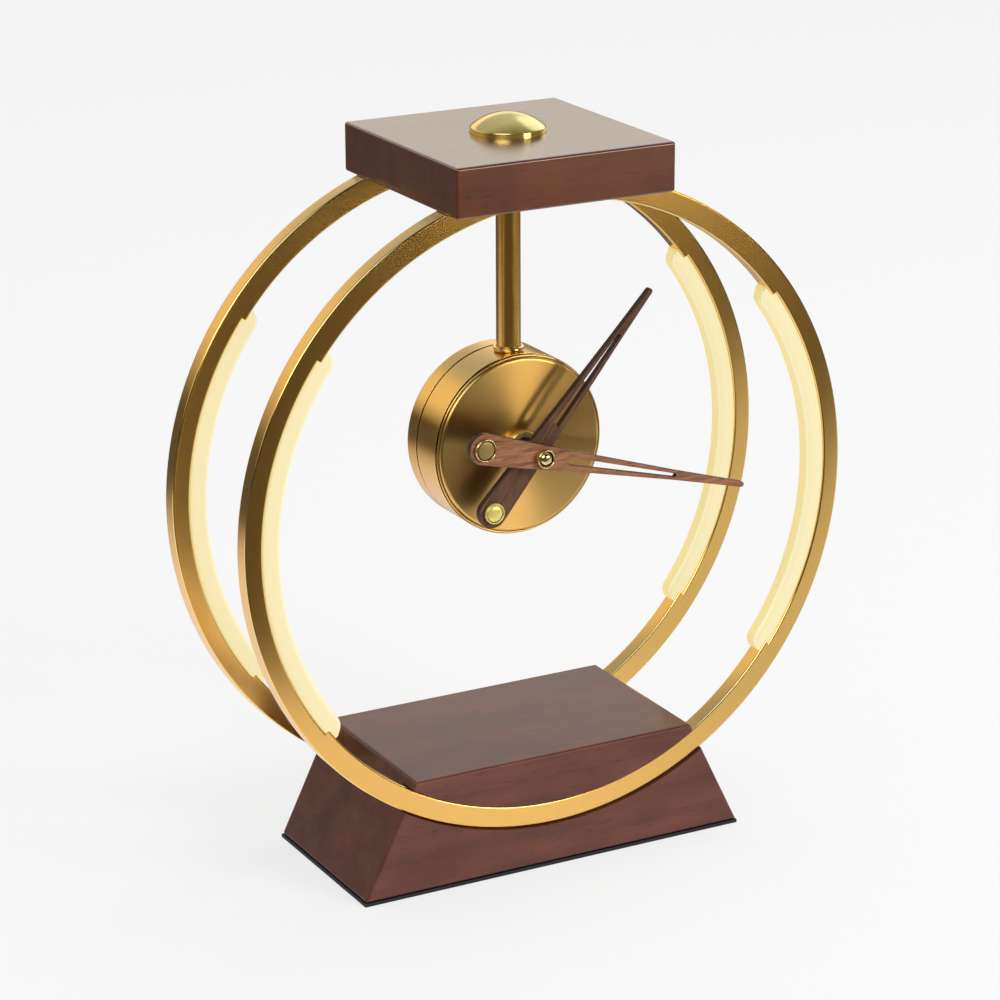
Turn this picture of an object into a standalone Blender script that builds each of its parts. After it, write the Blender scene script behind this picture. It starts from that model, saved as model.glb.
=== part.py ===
"""Desk lamp clock: two lit brass rings stand in a wooden charging base and carry a wooden block, with a
clock drum hanging from it on a rod. Metres, +Z up, +Y to the back, origin at the centre of the underside."""

import math

import bmesh
import bpy
from mathutils import Matrix, Vector

# Fits: the gap between pieces that touch, and the radial clearance of turning and sliding ones
GAP = 0.0003
RUN = 0.0001
CUT_MARGIN = 0.003

# Base
BASE_BOTTOM_WIDTH = 0.1853
BASE_TOP_WIDTH = 0.1354
BASE_DEPTH = 0.084
BASE_HEIGHT = 0.0521
BASE_EDGE = 0.0008
PAD_THICKNESS = 0.0015
BASE_PLATE_THICKNESS = 0.003
BASE_PLATE_LEDGE = 0.006
WALL_BEHIND_RING = 0.007
CAVITY_SIDE_WALL = 0.017
CAVITY_HEIGHT = 0.0325
BASE_SCREW_R = 0.0013
BASE_SCREW_LENGTH = 0.009
BASE_SCREW_HEAD_R = 0.0026
BASE_SCREW_HEAD_HEIGHT = 0.0012

# Rings
RING_OUTER_R = 0.143
RING_TUBE_HEIGHT = 0.0098
RING_TUBE_WIDTH = 0.008
RING_TUBE_WALL = 0.0012
RING_TUBE_EDGE = 0.0005
RING_INSET = 0.0015
RING_BOTTOM_Z = 0.0194
RING_STEPS = 60
RING_SCREW_R = 0.002
RING_SCREW_HEAD_R = 0.0038
RING_SCREW_HEAD_HEIGHT = 0.002
RING_SCREW_LENGTH = 0.009
RING_SCREW_GRIP = 0.0022
TOP_SCREW_GRIP = 0.007
TOP_SCREW_R = 0.0015
TOP_SCREW_HEAD_R = 0.003
TOP_SCREW_HEAD_HEIGHT = 0.0016

# Light diffusers and the strips behind them
LED_HALF_ANGLE = math.radians(36.6)
LED_OVERHANG = math.radians(2.0)
LED_LEDGE_DEPTH = 0.002
DIFFUSER_DEPTH = 0.0084
DIFFUSER_WIDTH = 0.0076
DIFFUSER_EDGE = 0.0015
ROUND_CORNER_CUT = 0.7
DIFFUSER_END_ROUND = 0.004
DIFFUSER_FOOT_DEPTH = 0.003
DIFFUSER_FOOT_SHORTER = 0.01
DIFFUSER_BODY_INSET = 0.0001
DIFFUSER_JOIN = 0.0008
END_ROUND_SHARE = 0.75
LED_STEPS = 12
LED_STRIP_THICKNESS = 0.001

# Top block and its light button
BLOCK_WIDTH = 0.102
BLOCK_DEPTH = 0.1023
BLOCK_HEIGHT = 0.0211
BLOCK_EDGE = 0.0016
BUTTON_R = 0.016
BUTTON_RIM_HEIGHT = 0.0022
BUTTON_DOME_HEIGHT = 0.0061
BUTTON_WALL = 0.0012
BUTTON_TRAVEL = 0.0012
BUTTON_POCKET_CLEARANCE = 0.0006
BUTTON_POCKET_DEPTH = 0.0052
BUTTON_STEM_R = 0.0015
BUTTON_CATCH_R = 0.0024
BUTTON_CATCH_HEIGHT = 0.0012
BUTTON_STEPS = 28
SPRING_R = 0.003
SPRING_WIRE_R = 0.00025
SPRING_TURNS = 3
SPRING_POINTS_PER_TURN = 10
SWITCH_BOARD_THICKNESS = 0.0012
SWITCH_SIZE = 0.010
SWITCH_HEIGHT = 0.0028
NUT_POCKET_R = 0.0115
NUT_POCKET_FLOOR = 0.0045

# Rod
ROD_R = 0.00525
ROD_WALL = 0.00125
ROD_LENGTH = 0.0732
ROD_COLLAR_R = 0.0068
ROD_COLLAR_HEIGHT = 0.0019
ROD_COLLAR_EDGE = 0.0005
ROD_END = 0.001
NUT_R = 0.0077
NUT_THICKNESS = 0.0035

# Clock drum, measured forwards from the rod's axis
DRUM_R = 0.040
DRUM_WALL = 0.0012
DIAL_FRONT = 0.0105
DIAL_THICKNESS = 0.0018
DIAL_RIM_WIDTH = 0.0014
DIAL_RIM_STEP = 0.0009
DIAL_SHOULDER_R = 0.0007
ROUND_CORNER_SHARE = 0.3
DRUM_BACK_CORNER = 0.001
DRUM_SEAM = -0.0094
DRUM_BACK = -0.018
SPIGOT_LENGTH = 0.0018
SPIGOT_WALL = 0.001

# Clock movement
CASE_CORNER_SHARE = 1.35
CASE_WALL = 0.0012
CASE_FRONT_WALL = 0.0012
CASE_DEPTH = 0.0165
CASE_SPLIT = -0.001
NECK_R = 0.004
NECK_LENGTH = 0.0068
MINUTE_SHAFT_R = 0.0015
HOUR_TUBE_WALL = 0.001
DIAL_NUT_R = 0.0072
DIAL_NUT_THICKNESS = 0.0032
DIAL_NUT_EDGE = 0.0006
BATTERY_R = 0.0071
BATTERY_LENGTH = 0.0506
BATTERY_NUB_R = 0.0027
BATTERY_NUB_LENGTH = 0.001
CONTACT_THICKNESS = 0.0006
CONTACT_ROOM = 0.0006
CONTACT_HALF = 0.0033
PLATE_INSET = 0.0008
PLATE_MARGIN = 0.0015
MOTOR_BORE_DEPTH = 0.0035
SHAFT_IN_MOTOR = 0.003
MOVEMENT_BOARD_DROP = 0.002
MOVEMENT_BOARD_THICKNESS = 0.001
CRYSTAL_R = 0.001
CRYSTAL_HALF_LENGTH = 0.003
CRYSTAL_UP = 0.004
CRYSTAL_SINK = 0.0004

# Motion work: a 12-tooth pinion drives 36 teeth, and a 10-tooth pinion drives 40, so the hour is a twelfth
MINUTE_MODULE = 0.00034
CANNON_TEETH = 12
MOTION_TEETH = 36
HOUR_PINION_TEETH = 10
HOUR_TEETH = 40
BACKLASH = 0.00018
MOTION_ANGLE = math.radians(135.0)
SETTING_ANGLE = math.radians(90.0)
WHEEL_THICKNESS = 0.001
POST_R = 0.0008
SETTING_STEM_R = 0.0012
SETTING_KNOB_R = 0.0055
SETTING_KNOB_THICKNESS = 0.0035
SETTING_KNOB_FLUTES = 12
SETTING_FLUTE_DEPTH = 0.0004
JOINED_DEPTH = 0.0002
TOOTH_STEP = 0.0001

# Hands, measured from the clock axis; the photographed time is about 17.6 minutes past one
HAND_THICKNESS = 0.003
MINUTE_HAND_FRONT = 0.031
MINUTE_HAND_LENGTH = 0.104
MINUTE_HAND_ANGLE = math.radians(105.6)
MINUTE_CAP_DISTANCE = 0.0293
MINUTE_CAP_R = 0.005
MINUTE_SLOT = (0.0133, 0.068)
HOUR_HAND_FRONT = 0.024
HOUR_HAND_LENGTH = 0.0858
HOUR_HAND_ANGLE = math.radians(41.2)
HOUR_CAP_DISTANCE = 0.031
HOUR_CAP_R = 0.0046
HOUR_SLOT = (0.015, 0.062)
HAND_TAIL_R = 0.0068
HAND_HUB_HALF_WIDTH = 0.0053
HAND_SLOT_HALF_WIDTH = 0.0044
HAND_NECK_HALF_WIDTH = 0.00205
HAND_TIP_R = 0.0012
SLOT_START_WIDTH = 0.0034
SLOT_END_WIDTH = 0.0016
HAND_CAP_HEIGHT = 0.0016
HAND_CAP_RIM = 0.0007
MINUTE_CAP_RECESS = 0.0006
HOUR_TUBE_PROUD = 0.0006
MINUTE_SHAFT_PROUD = 0.002
HAND_NUT_R = 0.00415
HAND_NUT_HEIGHT = 0.0031
HAND_NUT_FACE = ((0.3, 0.0003), (0.55, 0.0011), (0.72, 0.0009), (0.9, 0.0007), (1.0, 0.0012))

# Charger and power parts in the base
CHARGE_WALL = 0.0043
COIL_R = 0.0215
COIL_HOLE_R = 0.010
COIL_THICKNESS = 0.0022
FERRITE_THICKNESS = 0.001
FERRITE_MARGIN = 0.0015
HOLDER_THICKNESS = 0.002
HOLDER_SIDE_GAP = 0.008
HOLDER_END_GAP = 0.003
HOLDER_COLUMN_INSET = 0.001
BOARD_THICKNESS = 0.0016
BOARD_STANDOFF = 0.004
BOARD_END_GAP = 0.004
STANDOFF_INSET = 0.004
BOARD_INLET_GAP = 0.0015
STANDOFF_R = 0.0035
PEG_R = 0.002
INLET_X = 0.040
INLET_HEIGHT = 0.013
INLET_NOSE_R = 0.0038
INLET_BORE_R = 0.0029
INLET_PIN_R = 0.001
INLET_BODY_SIZE = 0.011
INLET_RECESS_R = 0.007
INLET_RECESS_DEPTH = 0.005
INLET_JOIN = 0.001
WIRE_R = 0.0007
WIRE_HOLE_R = 0.0012
WIRE_HOLE_ANGLE = math.radians(10.0)
BLOCK_WIRE_X = -0.006
LOOP_STEPS = 18
LOOP_SCREW_ANGLE = 0.045
FEED_BEND = 0.0022
FEED_START = 0.0008
FEED_DROP = 0.0012
FEED_SLOPE_LENGTH = 0.005
FEED_LANDING = 0.012
SWITCH_WIRE_STEPS = 9
SWITCH_WIRE_BEND = 0.001
INLET_WIRE_RISE = 0.001
INLET_WIRE_STEP = 0.002
INLET_WIRE_LANDING = 0.003

# Places worked out from the sizes above
RING_INNER_R = RING_OUTER_R - RING_TUBE_HEIGHT
RING_CENTRE_Z = RING_BOTTOM_Z + RING_OUTER_R
RING_Y = BASE_DEPTH / 2 - RING_INSET - RING_TUBE_WIDTH / 2
RING_STEP = 2 * math.pi / RING_STEPS
TUBE_OUTER_R = RING_OUTER_R - RING_TUBE_WALL
TUBE_FLAT_R = TUBE_OUTER_R * math.cos(RING_STEP / 2)
WIRE_LIE_R = TUBE_FLAT_R - WIRE_HOLE_R - GAP / 2
LEDGE_R = RING_INNER_R + LED_LEDGE_DEPTH
BLOCK_BOTTOM_Z = RING_CENTRE_Z + RING_INNER_R + GAP
BLOCK_TOP_Z = BLOCK_BOTTOM_Z + BLOCK_HEIGHT
BUTTON_FLOOR_Z = BLOCK_TOP_Z - BUTTON_POCKET_DEPTH
BUTTON_POCKET_R = BUTTON_R + BUTTON_POCKET_CLEARANCE
NUT_FLOOR_Z = BLOCK_BOTTOM_Z + NUT_POCKET_FLOOR
DRUM_Z = BLOCK_BOTTOM_Z - ROD_LENGTH - DRUM_R
DRUM_INNER_R = DRUM_R - DRUM_WALL
SPIGOT_R = DRUM_INNER_R - GAP
DIAL_BACK = DIAL_FRONT - DIAL_THICKNESS
SPIGOT_INNER_R = SPIGOT_R - SPIGOT_WALL
CASE_HALF = BATTERY_LENGTH / 2 + GAP + CONTACT_THICKNESS + CONTACT_ROOM + CASE_WALL
CASE_REACH = min(SPIGOT_INNER_R - GAP, CASE_HALF * CASE_CORNER_SHARE)
CASE_INSIDE_HALF = CASE_HALF - CASE_WALL
CASE_INSIDE_REACH = CASE_REACH - CASE_WALL
BATTERY_CORNER_DROP = math.sqrt((CASE_INSIDE_REACH - GAP) ** 2 - (BATTERY_LENGTH / 2) ** 2)
BATTERY_DROP = min(BATTERY_CORNER_DROP, CASE_INSIDE_HALF - 2 * GAP) - BATTERY_R
CASE_FRONT = DIAL_BACK - GAP
CASE_BACK = CASE_FRONT - CASE_DEPTH
NECK_TOP = CASE_FRONT + NECK_LENGTH
CAVITY_HALF_WIDTH = BASE_TOP_WIDTH / 2 - CAVITY_SIDE_WALL
CAVITY_HALF_DEPTH = RING_Y - RING_TUBE_WIDTH / 2 - WALL_BEHIND_RING
BLOCK_START_Z = PAD_THICKNESS + GAP
PLATE_BOTTOM_Z = BLOCK_START_Z
PLATE_TOP_Z = PLATE_BOTTOM_Z + BASE_PLATE_THICKNESS
SHELF_Z = BLOCK_START_Z + CAVITY_HEIGHT
FERRITE_R = COIL_R + FERRITE_MARGIN
COIL_TOP_Z = BASE_HEIGHT - CHARGE_WALL - GAP
BOARD_HALF_WIDTH = INLET_X - INLET_BODY_SIZE / 2 - BOARD_INLET_GAP
MINUTE_SHAFT_FRONT = MINUTE_HAND_FRONT + MINUTE_SHAFT_PROUD
HOUR_TUBE_BORE_R = MINUTE_SHAFT_R + RUN
HOUR_TUBE_R = HOUR_TUBE_BORE_R + HOUR_TUBE_WALL
NECK_BORE_R = HOUR_TUBE_R + RUN
GEAR_DISTANCE = MINUTE_MODULE * (CANNON_TEETH + MOTION_TEETH) / 2
HOUR_MODULE = 2 * GEAR_DISTANCE / (HOUR_PINION_TEETH + HOUR_TEETH)
MOTION_X = GEAR_DISTANCE * math.cos(MOTION_ANGLE)
MOTION_Y = GEAR_DISTANCE * math.sin(MOTION_ANGLE)
SETTING_X = MOTION_X + GEAR_DISTANCE * math.cos(SETTING_ANGLE)
SETTING_Y = MOTION_Y + GEAR_DISTANCE * math.sin(SETTING_ANGLE)

# Layers of the movement, from the front wall of its case backwards
CASE_INSIDE_FRONT = CASE_FRONT - CASE_FRONT_WALL
PINION_OVERLAP = 0.0002
WHEEL_GAP = 0.0006
TRAIN_PLATE_THICKNESS = 0.0012
HOUR_WHEEL_TOP = CASE_INSIDE_FRONT - GAP - PINION_OVERLAP
HOUR_WHEEL_BOTTOM = HOUR_WHEEL_TOP - WHEEL_THICKNESS
MOTION_PINION_TOP = CASE_INSIDE_FRONT - GAP
MOTION_WHEEL_TOP = HOUR_WHEEL_BOTTOM - WHEEL_GAP
MOTION_WHEEL_BOTTOM = MOTION_WHEEL_TOP - WHEEL_THICKNESS
PINION_TOP = MOTION_WHEEL_TOP + PINION_OVERLAP
PINION_BOTTOM = MOTION_WHEEL_BOTTOM - PINION_OVERLAP
TRAIN_PLATE_TOP = PINION_BOTTOM - GAP
TRAIN_PLATE_BOTTOM = TRAIN_PLATE_TOP - TRAIN_PLATE_THICKNESS
MOTOR_TOP = TRAIN_PLATE_BOTTOM - GAP

SHARP_ANGLE = math.radians(32.0)
ROUND = 40
BEVEL_SEGMENTS = 2
SMALL_ROUND = 20
SCREW_ROUND = 8
PEG_ROUND = 10
FACE_FRONT = (math.radians(90.0), 0.0, 0.0)

PARTS_NAME = "desk_lamp_clock"
CUTTERS_NAME = "cutters"


def clear_scene():
    for old in list(bpy.data.objects):
        bpy.data.objects.remove(old, do_unlink=True)


def new_collection(name):
    made = bpy.data.collections.new(name)
    bpy.context.scene.collection.children.link(made)
    return made


clear_scene()
PARTS = new_collection(PARTS_NAME)
CUTTERS = new_collection(CUTTERS_NAME)


def material(name, colour, roughness, metallic=0.0, glow=0.0):
    made = bpy.data.materials.new(name)
    made.use_nodes = True
    shader = made.node_tree.nodes["Principled BSDF"]
    shader.inputs["Base Color"].default_value = (*colour, 1.0)
    shader.inputs["Roughness"].default_value = roughness
    shader.inputs["Metallic"].default_value = metallic
    if glow:
        shader.inputs["Emission Color"].default_value = (*colour, 1.0)
        shader.inputs["Emission Strength"].default_value = glow
    made.diffuse_color = (*colour, 1.0)
    return made


BRASS_BRUSHED = material("brushed_brass", (0.56, 0.36, 0.14), 0.35, 1.0)
BRASS_POLISHED = material("polished_brass", (0.75, 0.53, 0.2), 0.15, 1.0)
WOOD_DARK = material("stained_wood", (0.13, 0.045, 0.028), 0.35)
WOOD_WALNUT = material("walnut", (0.2, 0.09, 0.055), 0.5)
DIFFUSER_GLOW = material("light_diffuser", (1.0, 0.86, 0.5), 0.4, 0.0, 1.0)
PLASTIC_BLACK = material("black_plastic", (0.02, 0.02, 0.02), 0.5)
PLASTIC_WHITE = material("white_plastic", (0.75, 0.75, 0.72), 0.45)
PAD_BLACK = material("black_pad", (0.015, 0.013, 0.013), 0.8)
STEEL = material("plated_steel", (0.6, 0.6, 0.62), 0.3, 1.0)
COPPER = material("copper_winding", (0.6, 0.25, 0.1), 0.35, 1.0)
FERRITE = material("ferrite", (0.05, 0.05, 0.055), 0.6)
BOARD_GREEN = material("circuit_board", (0.02, 0.12, 0.06), 0.45)
WIRE_RED = material("wire_cover", (0.5, 0.03, 0.03), 0.45)
BATTERY_JACKET = material("battery_jacket", (0.05, 0.08, 0.2), 0.3)


def placed(name, data, finish, location=(0, 0, 0), rotation=(0, 0, 0), parent=None):
    made = bpy.data.objects.new(name, data)
    made.location = location
    made.rotation_euler = rotation
    made.parent = parent
    if finish is None:
        CUTTERS.objects.link(made)
        made.hide_render = True
        made.display_type = "WIRE"
    else:
        data.materials.append(finish)
        PARTS.objects.link(made)
    return made


def empty(name, location, rotation=(0, 0, 0)):
    made = bpy.data.objects.new(name, None)
    made.location = location
    made.rotation_euler = rotation
    made.empty_display_size = 0.01
    PARTS.objects.link(made)
    return made


def mesh_from(name, bm):
    data = bpy.data.meshes.new(name)
    bmesh.ops.recalc_face_normals(bm, faces=bm.faces)
    bm.to_mesh(data)
    bm.free()
    return data


def box(name, finish, low, high, parent=None, edge=0.0):
    """A block between two corners, with bevelled edges where edge is set."""
    low = Vector(low)
    high = Vector(high)
    bm = bmesh.new()
    bmesh.ops.create_cube(bm, size=1.0)
    bmesh.ops.scale(bm, vec=high - low, verts=bm.verts)
    made = placed(name, mesh_from(name, bm), finish, (low + high) / 2, parent=parent)
    if edge:
        bevel(made, edge)
    return made


def bevel(target, width):
    added = target.modifiers.new("rounded_edges", "BEVEL")
    added.width = width
    added.segments = BEVEL_SEGMENTS
    added.limit_method = "ANGLE"


def turned(name, finish, profile, location=(0, 0, 0), rotation=(0, 0, 0), steps=ROUND, parent=None):
    """A profile of (radius, height) pairs turned about local Z. Its outer side runs from top to bottom, and
    a profile that starts or ends off the axis closes on itself, as a tube."""
    bm = bmesh.new()
    points = [bm.verts.new((radius, 0, height)) for radius, height in profile]
    for first, second in zip(points, points[1:]):
        bm.edges.new((first, second))
    if profile[0][0] > 0 or profile[-1][0] > 0:
        bm.edges.new((points[-1], points[0]))
    data = bpy.data.meshes.new(name)
    bm.to_mesh(data)
    bm.free()
    made = placed(name, data, finish, location, rotation, parent)
    screw = made.modifiers.new("turned", "SCREW")
    screw.steps = steps
    screw.render_steps = steps
    screw.use_merge_vertices = True
    screw.merge_threshold = 0.00001
    return made


def rod(
    name, finish, radius, low, high, location=(0, 0, 0), rotation=(0, 0, 0), steps=SMALL_ROUND, parent=None
):
    profile = [(0, high), (radius, high), (radius, low), (0, low)]
    return turned(name, finish, profile, location, rotation, steps, parent)


def tube(
    name, finish, outer, inner, low, high, location=(0, 0, 0), rotation=(0, 0, 0), steps=ROUND, parent=None
):
    profile = [(inner, high), (outer, high), (outer, low), (inner, low)]
    return turned(name, finish, profile, location, rotation, steps, parent)


def swept(name, finish, profile, start, end, steps, location=(0, 0, 0), rotation=(0, 0, 0)):
    """A face of (radius, height) pairs swept about local Z between two angles."""
    bm = bmesh.new()
    across = math.cos(start)
    up = math.sin(start)
    corners = [bm.verts.new((radius * across, radius * up, height)) for radius, height in profile]
    face = bm.faces.new(corners)
    bmesh.ops.spin(
        bm,
        geom=[face, *face.edges, *face.verts],
        cent=(0, 0, 0),
        axis=(0, 0, 1),
        angle=end - start,
        steps=steps,
    )
    return placed(name, mesh_from(name, bm), finish, location, rotation)


def lofted(name, finish, sections, location=(0, 0, 0), rotation=(0, 0, 0)):
    """A solid through unlike sections, each a ring of the same number of points."""
    bm = bmesh.new()
    rings = [[bm.verts.new(point) for point in section] for section in sections]
    count = len(rings[0])
    for near, far in zip(rings, rings[1:]):
        for index in range(count):
            after = (index + 1) % count
            bm.faces.new((near[index], near[after], far[after], far[index]))
    bm.faces.new(rings[0])
    bm.faces.new(rings[-1])
    return placed(name, mesh_from(name, bm), finish, location, rotation)


def as_mesh(guide, name):
    """The closed mesh that a curve object makes, which replaces the curve."""
    graph = bpy.context.evaluated_depsgraph_get()
    data = bpy.data.meshes.new_from_object(guide.evaluated_get(graph))
    data.name = name
    bpy.data.objects.remove(guide, do_unlink=True)
    bm = bmesh.new()
    bm.from_mesh(data)
    bmesh.ops.remove_doubles(bm, verts=bm.verts, dist=0.000001)
    bm.to_mesh(data)
    bm.free()
    return data


def flat(name, finish, outlines, low, high, location=(0, 0, 0), rotation=(0, 0, 0), parent=None):
    """Outlines of (x, y) pairs, the first one filled and the others holes in it, extruded from low to high."""
    curve = bpy.data.curves.new(name, "CURVE")
    curve.dimensions = "2D"
    curve.fill_mode = "BOTH"
    curve.extrude = (high - low) / 2
    curve.render_resolution_u = 0
    for outline in outlines:
        spline = curve.splines.new("POLY")
        spline.points.add(len(outline) - 1)
        spline.use_cyclic_u = True
        for point, (x, y) in zip(spline.points, outline):
            point.co = (x, y, 0, 1)
    guide = bpy.data.objects.new(name, curve)
    CUTTERS.objects.link(guide)
    data = as_mesh(guide, name)
    data.transform(Matrix.Translation((0, 0, (low + high) / 2)))
    return placed(name, data, finish, location, rotation, parent)


def wire(name, finish, path, radius=WIRE_R):
    """A round wire through a list of points."""
    curve = bpy.data.curves.new(name, "CURVE")
    curve.dimensions = "3D"
    curve.bevel_depth = radius
    curve.bevel_resolution = 1
    curve.use_fill_caps = True
    curve.render_resolution_u = 0
    spline = curve.splines.new("POLY")
    spline.points.add(len(path) - 1)
    for point, place in zip(spline.points, path):
        point.co = (*place, 1)
    guide = bpy.data.objects.new(name, curve)
    CUTTERS.objects.link(guide)
    return placed(name, as_mesh(guide, name), finish)


def combine(target, other, operation):
    added = target.modifiers.new(operation.lower(), "BOOLEAN")
    added.operation = operation
    added.object = other
    added.solver = "EXACT"


def cut(target, *others):
    for other in others:
        combine(target, other, "DIFFERENCE")


def join(target, *others):
    for other in others:
        combine(target, other, "UNION")


def mirrored(target, about, axes):
    """Adds copies on the other side of the planes across the named axes, which do not meet the first."""
    added = target.modifiers.new("mirrored", "MIRROR")
    added.use_axis = [axis in axes for axis in "XYZ"]
    added.mirror_object = about
    added.use_mirror_merge = False
    return target


def screw(name, head_r, head_height, shank_r, length, location, rotation=(0, 0, 0)):
    """Adds a screw whose head stands on local Z 0 with its shank below, and returns the cutter of its hole."""
    profile = [
        (0, head_height + GAP),
        (head_r - head_height / 2, head_height + GAP),
        (head_r, head_height / 2 + GAP),
        (head_r, GAP),
        (shank_r, GAP),
        (shank_r, -length),
        (0, -length),
    ]
    turned(name, STEEL, profile, location, rotation, SCREW_ROUND)
    hole_name = name + "_hole"
    return rod(hole_name, None, shank_r + GAP, -length - GAP, CUT_MARGIN / 2, location, rotation, SCREW_ROUND)


def circle(radius, count):
    turn = 2 * math.pi / count
    angles = [turn * index for index in range(count)]
    return [(radius * math.cos(angle), radius * math.sin(angle)) for angle in angles]


def square_in_circle(half, reach, steps=3):
    """A square's outline, with its corners cut round where they pass the circle of that reach."""
    corner_start = math.acos(half / reach)
    corner_turn = math.pi / 2 - 2 * corner_start
    points = []
    for quarter in range(4):
        for step in range(steps + 1):
            angle = quarter * math.pi / 2 + corner_start + step / steps * corner_turn
            points.append((reach * math.cos(angle), reach * math.sin(angle)))
    return points


def involute(radius, base_r):
    """The angle that an involute from the base circle has turned through at a radius."""
    if radius <= base_r:
        return 0.0
    pressure = math.acos(base_r / radius)
    return math.tan(pressure) - pressure


def gear_outline(teeth, module, tooth_at=0.0):
    """Teeth whose straight flanks join an involute's points at the root and the tip, with one tooth centred on
    the angle tooth_at."""
    pitch_r = module * teeth / 2
    base_r = pitch_r * math.cos(math.radians(20.0))
    tip_r = pitch_r + module * 0.9
    root_r = pitch_r - module * 1.2
    half_pitch_angle = (math.pi * module / 2 - BACKLASH) / 2 / pitch_r
    points = []
    for tooth in range(teeth):
        middle = tooth_at + tooth * 2 * math.pi / teeth
        left = []
        for radius in (root_r, tip_r):
            half = half_pitch_angle + involute(pitch_r, base_r) - involute(radius, base_r)
            left.append((radius, half))
        for radius, half in left:
            points.append((radius * math.cos(middle - half), radius * math.sin(middle - half)))
        for radius, half in reversed(left):
            points.append((radius * math.cos(middle + half), radius * math.sin(middle + half)))
    return points


def ring_point(radius, angle, y):
    """A point on a ring's plane, with the angle up from +X."""
    return (radius * math.cos(angle), y, RING_CENTRE_Z + radius * math.sin(angle))


def from_drum(x, up, forward):
    """A world point from a place on the clock's face."""
    return (x, -forward, DRUM_Z + up)


CENTRE = empty("centre", (0, 0, 0))
CLOCK_AXIS = empty("clock_axis", (0, 0, DRUM_Z), FACE_FRONT)


def make_base():
    base_mesh = bmesh.new()
    bmesh.ops.create_cube(base_mesh, size=1.0)
    for corner in base_mesh.verts:
        top = corner.co.z > 0
        corner.co.x *= BASE_TOP_WIDTH if top else BASE_BOTTOM_WIDTH
        corner.co.y *= BASE_DEPTH
        corner.co.z = BASE_HEIGHT if top else BLOCK_START_Z
    block = placed("base_block", mesh_from("base_block", base_mesh), WOOD_DARK)
    bevel(block, BASE_EDGE)

    front = BASE_DEPTH / 2 + CUT_MARGIN
    back = RING_Y - RING_TUBE_WIDTH / 2 - GAP
    for side in (-1, 1):
        low, high = sorted((-side * front, -side * back))
        cut(
            block,
            tube(
                "base_rebate_front" if side < 0 else "base_rebate_rear",
                None,
                RING_OUTER_R + GAP,
                RING_INNER_R - GAP,
                low,
                high,
                (0, 0, RING_CENTRE_Z),
                FACE_FRONT,
                RING_STEPS,
            ),
        )
    half_width = CAVITY_HALF_WIDTH
    half_depth = CAVITY_HALF_DEPTH
    cavity = box(
        "base_cavity", None, (-half_width, -half_depth, -CUT_MARGIN), (half_width, half_depth, SHELF_Z)
    )
    plate_half_width = half_width + BASE_PLATE_LEDGE
    plate_half_depth = half_depth + BASE_PLATE_LEDGE
    ledge = box(
        "base_plate_recess",
        None,
        (-plate_half_width - GAP, -plate_half_depth - GAP, -CUT_MARGIN),
        (plate_half_width + GAP, plate_half_depth + GAP, PLATE_TOP_Z + GAP),
    )
    coil_pocket = rod(
        "coil_pocket", None, FERRITE_R + 2 * GAP, SHELF_Z - CUT_MARGIN, BASE_HEIGHT - CHARGE_WALL, steps=ROUND
    )
    cut(block, cavity, ledge, coil_pocket)

    box(
        "base_pad",
        PAD_BLACK,
        (-BASE_BOTTOM_WIDTH / 2, -BASE_DEPTH / 2, 0),
        (BASE_BOTTOM_WIDTH / 2, BASE_DEPTH / 2, PAD_THICKNESS),
    )
    plate = box(
        "base_plate",
        PLASTIC_BLACK,
        (-plate_half_width, -plate_half_depth, PLATE_BOTTOM_Z),
        (plate_half_width, plate_half_depth, PLATE_TOP_Z),
    )
    inset = BASE_PLATE_LEDGE / 2
    recess_top = PLATE_BOTTOM_Z + BASE_SCREW_HEAD_HEIGHT + 2 * GAP
    for side_name, side in (("left", -1), ("right", 1)):
        for end_name, end in (("front", -1), ("rear", 1)):
            label = end_name + "_" + side_name
            x = side * (half_width + inset)
            y = end * (half_depth + inset)
            recess = rod(
                "plate_recess_" + label,
                None,
                BASE_SCREW_HEAD_R + GAP,
                -CUT_MARGIN,
                recess_top,
                (x, y, 0),
                steps=SCREW_ROUND,
            )
            hole = screw(
                "base_screw_" + label,
                BASE_SCREW_HEAD_R,
                BASE_SCREW_HEAD_HEIGHT,
                BASE_SCREW_R,
                BASE_SCREW_LENGTH,
                (x, y, recess_top),
                (math.pi, 0, 0),
            )
            cut(plate, recess, hole)
            cut(block, hole)
    return block, plate


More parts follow.
